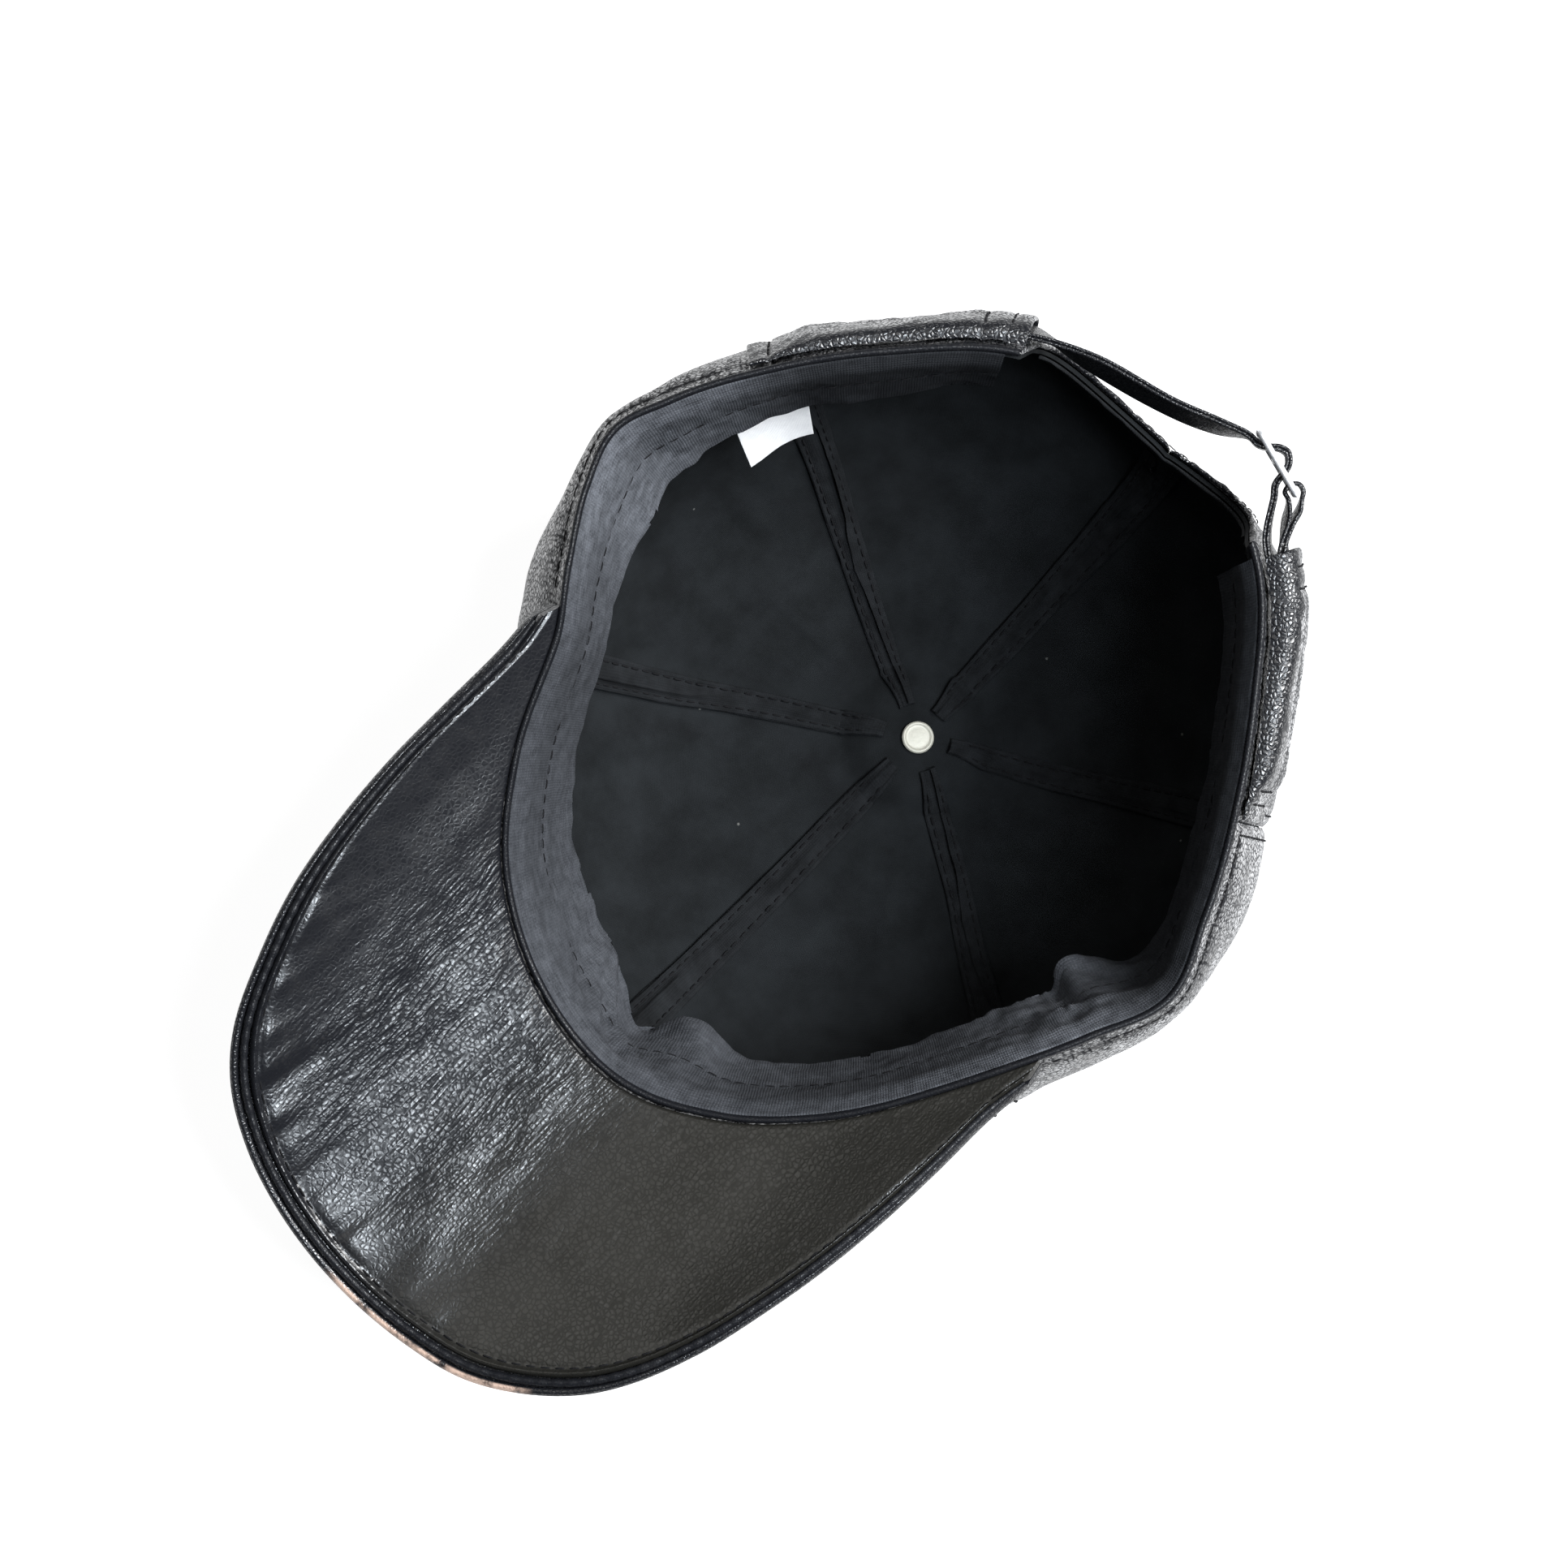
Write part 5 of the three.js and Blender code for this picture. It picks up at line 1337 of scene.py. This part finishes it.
# %% Tab
TAB_OFF = BUCKLE_PLATE / 2 + GAP + TAB_THICKNESS / 2
TAB_LAYER = STRAP_BESIDE + STRAP_HALF + GAP + TAB_THICKNESS / 2
BUCKLE_BAY = BUCKLE_LENGTH - BUCKLE_BORDER
tab_path = [
    beside_panel(64, TAB_LAYER + TAB_THICKNESS + GAP + 0.3, TAB_WIDTH),
    beside_panel(68.5, TAB_LAYER + TAB_THICKNESS + GAP + 0.5, TAB_WIDTH),
    upright(0.343, 0.991, TAB_WIDTH), upright(0.334, 1.023, TAB_WIDTH),
    beside_buckle(BUCKLE_LENGTH + 0.9, TAB_OFF - 0.9, TAB_WIDTH),
    beside_buckle(BUCKLE_LENGTH - 0.6, TAB_OFF + 0.3, TAB_WIDTH),
    beside_buckle(BUCKLE_BAY - 0.3, TAB_OFF + 0.15, TAB_WIDTH),
    beside_buckle(BUCKLE_BAY - GAP - TAB_THICKNESS / 2 - 0.3, 0, TAB_WIDTH),
    beside_buckle(BUCKLE_BAY - 0.3, -TAB_OFF - 0.15, TAB_WIDTH),
    beside_buckle(BUCKLE_LENGTH - 0.4, -TAB_OFF - 0.4, TAB_WIDTH),
    upright(0.326, 0.996, TAB_WIDTH),
    beside_panel(68.5, TAB_LAYER + 0.45, TAB_WIDTH), beside_panel(64, TAB_LAYER + 0.2, TAB_WIDTH),
]
buckle_tab = ribbon("buckle_tab", tab_path, TAB_WIDTH, 1, TAB_THICKNESS, strap_leather, 260)
stand_for(buckle_tab, "buckle_tab")

# %% [markdown]
# ## Buckle
#
# A cast buckle has no sharp edge: its frame is a bar bent into a rounded rectangle. So an oval
# section is swept round that path, and a straight bar joins the two long sides.

# %% Buckle
def buckle_place(along, out, level):
    out, level = out - level * math.sin(BUCKLE_LEAN), level * math.cos(BUCKLE_LEAN)
    x = BUCKLE_START[0] + BUCKLE_ALONG[0] * along + BUCKLE_OUT[0] * out
    y = BUCKLE_START[1] + BUCKLE_ALONG[1] * along + BUCKLE_OUT[1] * out
    return lay(spots(x, y, STRAP_LEVEL + level))


def rounded_loop(length, height, radius, steps=12):
    """A rounded rectangle about the origin, counted anticlockwise."""
    turn = np.radians(np.linspace(0, 90, steps))
    points = []
    for quarter in range(4):
        cx = (length / 2 - radius) * (1, -1, -1, 1)[quarter]
        cz = (height / 2 - radius) * (1, 1, -1, -1)[quarter]
        a = turn + quarter * np.pi / 2
        points.append(np.stack([cx + radius * np.cos(a), cz + radius * np.sin(a)], axis=1))
    return np.concatenate(points)


loop = rounded_loop(BUCKLE_LENGTH - BUCKLE_BORDER, BUCKLE_HEIGHT - BUCKLE_BORDER, 1.7)
ahead = unit(np.roll(loop, -1, axis=0) - np.roll(loop, 1, axis=0))
centre = BUCKLE_LENGTH / 2
path = buckle_place(centre + loop[:, 0], 0, loop[:, 1])
side = buckle_place(centre + loop[:, 0] + ahead[:, 1], 0, loop[:, 1] - ahead[:, 0]) - path
thickness = buckle_place(centre + loop[:, 0], 1, loop[:, 1]) - path
buckle = tube("buckle", path, side, thickness, BUCKLE_BORDER, BUCKLE_PLATE, buckle_metal, 16, closed=True)
level = np.linspace(-1, 1, 24) * (BUCKLE_HEIGHT / 2 - BUCKLE_BORDER * 0.6)
path = buckle_place(BUCKLE_BAR_AT, 0, level)
side = buckle_place(BUCKLE_BAR_AT + 1, 0, level) - path
thickness = buckle_place(BUCKLE_BAR_AT, 1, level) - path
bar = tube("buckle_bar", path, side, thickness, BUCKLE_BAR, BUCKLE_PLATE * 0.9, buckle_metal, 16)
merge(buckle, bar)
stand_for(buckle, "buckle")

# %% [markdown]
# ## Button and rivet
#
# Both are turned shapes: a profile goes round an axis. The rivet's pale disc has a raised rim and a
# hammered face; the button is a low dome covered with the panels' leather, under the crown.

# %% Button and rivet
def turned(name, profile, material, steps=96):
    """Spins a profile of (radius, level) pairs in mm about the crown's top."""
    profile = through(np.array(profile, float), np.linspace(0, 1, len(profile) * 5))
    radius, level = np.maximum(profile[:, 0], 0.02), profile[:, 1]
    turn = np.arange(steps) / steps * 2 * np.pi
    centre = TOP[:2] + SHIFT
    points = spots(centre[0] + radius[:, None] * np.cos(turn), centre[1] + radius[:, None] * np.sin(turn),
                   level[:, None])
    faces, cloth = grid_faces(len(profile), steps, True)
    wide = np.arange(steps + 1) / steps * 2 * np.pi
    flat = np.stack(np.broadcast_arrays(wide[None] * radius[:, None], level[:, None]), axis=-1).reshape(-1, 2)
    caps = [quad[::-1] for quad in fan(0, steps)] + fan((len(profile) - 1) * steps, steps)
    turned_faces, kept = outward(points.reshape(-1, 3), np.concatenate([faces, np.array(caps)]))
    flat = np.concatenate([flat[cloth], np.zeros((len(caps), 4, 2))])
    return make_piece(name, points, turned_faces, material, flat if kept else flat[:, ::-1], crease=70)


R, H = BUTTON_RADIUS, BUTTON_HEIGHT
button_cover = turned("button_cover", [
    (0, 0.0), (R * 0.45, 0.02), (R * 0.76, 0.12), (R * 0.93, 0.7), (R, H * 0.42), (R * 0.99, H * 0.75),
    (R * 0.93, H * 0.95), (R * 0.7, H), (0, H),
], panel_leather)
stand_for(button_cover, "button_cover")

SHANK_LOW = BUTTON_HEIGHT + GAP
RIVET_LOW = SHANK_LOW + LINING_TOP + LINING + GAP
R, H = RIVET_RADIUS * 0.9, RIVET_HEIGHT
button_rivet = turned("button_rivet", [
    (0, SHANK_LOW), (SHANK_RADIUS, SHANK_LOW), (SHANK_RADIUS, RIVET_LOW), (R * 0.9, RIVET_LOW),
    (R, RIVET_LOW + H * 0.3), (R, RIVET_LOW + H * 0.65), (R * 0.93, RIVET_LOW + H * 0.95),
    (R * 0.86, RIVET_LOW + H), (R * 0.78, RIVET_LOW + H * 0.88), (R * 0.72, RIVET_LOW + H * 0.8),
    (R * 0.35, RIVET_LOW + H * 0.84), (0, RIVET_LOW + H * 0.86),
], rivet_metal)
stand_for(button_rivet, "button_rivet")

# %% [markdown]
# ## Care label
#
# A small strip of white satin is caught behind the sweatband's free edge and hangs on in the band's
# own line. It curls a little, because a cut ribbon does.

# %% Care label
def label_place(u, v):
    turn = math.degrees(LABEL_WIDTH / float(rim_reach(np.array(float(LABEL_ANGLE)))))
    angle = LABEL_ANGLE + (u - 0.5) * turn
    free = LABEL_LENGTH * v - LABEL_HELD
    further = LABEL_LEAN * np.maximum(0, free / (LABEL_LENGTH - LABEL_HELD)) ** 1.5
    return band_place((angle - BAND_FROM) / (BAND_TO - BAND_FROM), 1 + free / BAND_WIDTH, further)


LABEL_ROLL = 0.2
u = run_steps(LABEL_WIDTH, LABEL_ROLL, 36) / LABEL_WIDTH
v = run_steps(LABEL_LENGTH, LABEL_ROLL, 40) / LABEL_LENGTH
u, v = np.meshgrid(u, v)
run, d = u * LABEL_WIDTH, v * LABEL_LENGTH
free = smooth((d - LABEL_HELD) / 9)
curl = free * (0.3 * cloud(u * 2.4, v * 2.0, 131) + 0.4 * (u - 0.4) ** 2)
half = np.minimum(rounded(run, LABEL_WIDTH, LABEL_ROLL), rounded(d, LABEL_LENGTH, LABEL_ROLL))
half = 0.16 * half
middle = GAP + LABEL_THICKNESS / 2 + curl
high, low = lifted(label_place, u, v, middle + half, middle - half, step=0.01)
care_label = slab("care_label", high, low, np.stack([run, d], axis=-1), label_cloth)
stand_for(care_label, "care_label")

# %% [markdown]
# ## Stitches
#
# A stitch is a short thread that dives in at both ends, so a row of small bent tubes reads better
# than a painted dash: each throws its own shadow. All stitches of a row are worked out at once.

# %% Stitch rows
def stitches(name, rows, length=2.5, gap=0.9, radius=0.24):
    """rows holds (line, out): points of each line and the direction out of the cloth there."""
    points, sides = [], 6
    q = np.array([0, 0.12, 0.35, 0.65, 0.88, 1])
    arc = np.array([-0.5, 0.35, 0.8, 0.8, 0.35, -0.5]) * radius
    thick = np.array([0.6, 0.95, 1, 1, 0.95, 0.6]) * radius
    turn = np.arange(sides) / sides * 2 * np.pi
    for line, out in rows:
        share, total = measured(line)
        starts = np.arange(0.5, total - length - 0.3, length + gap)
        where = (starts[:, None] + q * length) / total
        spot = np.stack([np.interp(where, share, line[:, k]) for k in range(3)], axis=-1)
        up = unit(np.stack([np.interp(where, share, out[:, k]) for k in range(3)], axis=-1))
        ahead = unit(np.gradient(spot, axis=1))
        side = unit(np.cross(ahead, up))
        centre = spot + up * arc[:, None]
        ring = side[:, :, None] * np.cos(turn)[:, None] + up[:, :, None] * np.sin(turn)[:, None]
        points.append((centre[:, :, None] + ring * thick[:, None, None]).reshape(-1, len(q) * sides, 3))
    points = np.concatenate(points)
    i, k = np.meshgrid(np.arange(len(q) - 1), np.arange(sides), indexing="ij")
    i, k, after = i.ravel(), k.ravel(), (k.ravel() + 1) % sides
    here, there = i * sides, (i + 1) * sides
    end = (len(q) - 1) * sides
    caps = [[3, 2, 1, 0], [5, 4, 3, 0], [end, end + 1, end + 2, end + 3], [end, end + 3, end + 4, end + 5]]
    one = np.concatenate([quads(here + k, here + after, there + after, there + k), caps])
    one = outward(points[0], one)[0]
    faces = (one[None] + np.arange(len(points))[:, None, None] * len(q) * sides).reshape(-1, 4)
    piece = make_piece(name, points, faces, thread, crease=80)
    print(f"{name}: {len(points)} stitches, {len(faces) * 2} triangles")


# %% Rows along the seams, the rim and the arch
SUNK = -0.12  # how a stitch lies against the leather
ARCH_STITCH = 6.21  # from the arch's edge to its row of stitches
rows = []
for start in PANELS.values():
    v = np.linspace(0.035, 0.97, 300)
    for side in (-1, 1):
        t = wall_t(float(start), v)
        angle = start + side * np.degrees(SEAM_STITCH / np.maximum(wall_radius(t), 8))
        rows.append(sewn(*wall_place(angle, wall_t(angle, v), SUNK, SUNK + 1)))
stitches("seam_stitches", rows)

rows = []
bare = [(154.5, 200), (340, 389.5)]  # where no sleeve and no peak covers the row
for first, last in bare:
    angle = np.linspace(first, last, 400)
    rows.append(sewn(*wall_place(angle, RIM_STITCH / WALL_LENGTH, SUNK, SUNK + 1)))
angle = ARCH_MIDDLE + np.linspace(-0.9, 0.9, 400) * ARCH_HALF
rows.append(sewn(*wall_place(angle, wall_t(angle, ARCH_STITCH / WALL_LENGTH), 0.05, 1.05)))
stitches("rim_stitches", rows, radius=0.16)

# %% Rows along the tapes
rows = []
for middle, start, length, side in tape_rows:
    d = np.linspace(2, length - 3, 400)
    v = start + (TAPE_END - start) * d / length
    for share, proud in ((side * TAPE_STITCH, 0.75), (-side * TAPE_STITCH, 0.02)):
        level = -TAPE_TOP - TAPE + 0.1 - proud
        rows.append(sewn(*tape_place(middle, share * tape_half(v), v, level, level - 1)))
stitches("tape_stitches", rows, length=2.1, gap=1.0, radius=0.2)

# %% Rows along the sweatband, the sleeves and the peak
u = np.linspace(0.004, 0.996, 1500)
rows = [sewn(*lifted(band_place, u, BAND_STITCH, -BAND + 0.12, -BAND - 1))]
stitches("band_stitches", rows, length=2.2, gap=1.2, radius=0.13)
stitches("sleeve_stitches", sleeve_rows, length=2.4, gap=0.8, radius=0.26)

u = np.linspace(0.03, 0.97, 1200)
from_edge = np.minimum(1, peak_width(u) / 14) / peak_width(u)
rows = [
    sewn(*lifted(peak_place, u, 1 - (PEAK_LINE + 2.1) * from_edge, far - 0.28, far + 1)),
    sewn(*lifted(peak_place, u, 1 - 3 * from_edge, -far + 0.05, -far - 1)),
]
stitches("peak_stitches", rows, length=2.4, gap=0.9, radius=0.2)

# %% [markdown]
# ## Floor
#
# The cap lies on a white sheet that glows a little by itself, as a light table does. Stronger lamps
# would whiten a plain sheet too, but they would burn out the leather with it.

# %% Floor
FLOOR_GLOW = 0.92  # the sheet is lit from below, so that shadows on it stay pale
floor_mesh = bpy.data.meshes.new("floor")
FLOOR_HALF = 6.0
corners = [(x * FLOOR_HALF, y * FLOOR_HALF, 0) for x, y in ((-1, -1), (1, -1), (1, 1), (-1, 1))]
floor_mesh.from_pydata(corners, [], [(0, 1, 2, 3)])
floor = bpy.data.objects.new("floor", floor_mesh)
floor.location.z = -0.0004
bpy.context.scene.collection.objects.link(floor)
paper = Finish("floor_paper")
fibre = paper.noise(paper.place(), 6, 3)
glow = {"Emission Color": (1.0, 1.0, 1.0, 1.0), "Emission Strength": FLOOR_GLOW}
pale = paper.blend((0.3, 0.3, 0.3), (0.32, 0.32, 0.32), fibre)
floor_mesh.materials.append(paper.finish(pale, 0.85, 0.02 * fibre, **glow))
print("the sheet is", 2 * FLOOR_HALF, "m wide")

# %% [markdown]
# ## Light
#
# Three soft lamps do the work of a bright room. The window, high behind the cap, shades the band
# and the lining. A narrow lamp stands where the peak's own slope mirrors it into the camera, which
# gives the peak its sheen, and a weak wide one fills the left. One lamp alone would do for the
# cloth, but dark leather shows little more than what it mirrors.

# %% Light
def in_cap(direction):
    """A direction in the cap's own frame, turned with the cap."""
    return Vector(unit(tip(np.array(direction, float))))


cap_middle = Vector(lay(np.array([0.0, -20.0, CROWN_DEPTH * 0.8])) / 1000)


def soft_light(name, direction, distance, width, length, power, colour=(1, 1, 1)):
    data = bpy.data.lights.new(name, "AREA")
    data.shape = "ELLIPSE"
    data.size = width
    data.size_y = length
    data.energy = power
    data.color = colour
    lamp = bpy.data.objects.new(name, data)
    lamp.location = cap_middle + in_cap(direction) * distance
    lamp.rotation_euler = (-in_cap(direction)).to_track_quat("-Z", "Y").to_euler()
    bpy.context.scene.collection.objects.link(lamp)
    return lamp


soft_light("window", (0.332, 0.624, 0.707), 1.6, 0.9, 0.9, 46)
soft_light("sheen_light", (0.33, 0.19, 1.0), 1.5, 0.36, 0.7, 21, (0.86, 0.93, 1.0))
soft_light("left_fill", (-0.55, 0.15, 1.0), 1.8, 1.6, 1.6, 5.5, (1.0, 0.98, 0.93))

world = bpy.data.worlds.new("pale_room")
world.use_nodes = True
background = world.node_tree.nodes["Background"].inputs
background["Color"].default_value = (0.93, 0.96, 1.0, 1.0)
background["Strength"].default_value = 0.07
bpy.context.scene.world = world
bpy.context.scene.view_settings.view_transform = "Standard"
print([lamp.name for lamp in bpy.data.lights], "and", world.name)

# %% [markdown]
# ## Camera
#
# The camera looks straight down into the hollow, along the crown's own axis, and is turned so that
# the peak points to the lower left. Its lens is long, so the rim's outline is hardly distorted.

# %% Camera
CAMERA_HEIGHT = 900  # above the rim
CAMERA_PLAN = (-9.4, -22.6)
PICTURE_RIGHT = unit(np.array([0.728, 0.686, 0.0]))
SENSOR = 36.0
PICTURE = 1932  # pixels along each side of the picture
FOCAL_PIXELS = 5028
right, back = tip(PICTURE_RIGHT), tip(np.array([0.0, 0.0, 1.0]))
upward = np.cross(back, right)
eye = lay(np.array([*CAMERA_PLAN, CROWN_DEPTH + CAMERA_HEIGHT])) / 1000
camera_data = bpy.data.cameras.new("camera")
camera_data.sensor_width = SENSOR
camera_data.lens = SENSOR * FOCAL_PIXELS / PICTURE
camera = bpy.data.objects.new("camera", camera_data)
turned_frame = Matrix((right, upward, back)).transposed().to_4x4()
camera.matrix_world = Matrix.Translation(Vector(eye)) @ turned_frame
bpy.context.scene.collection.objects.link(camera)
bpy.context.scene.camera = camera
print("camera at", eye.round(3), "lens", round(camera_data.lens, 1), "mm")
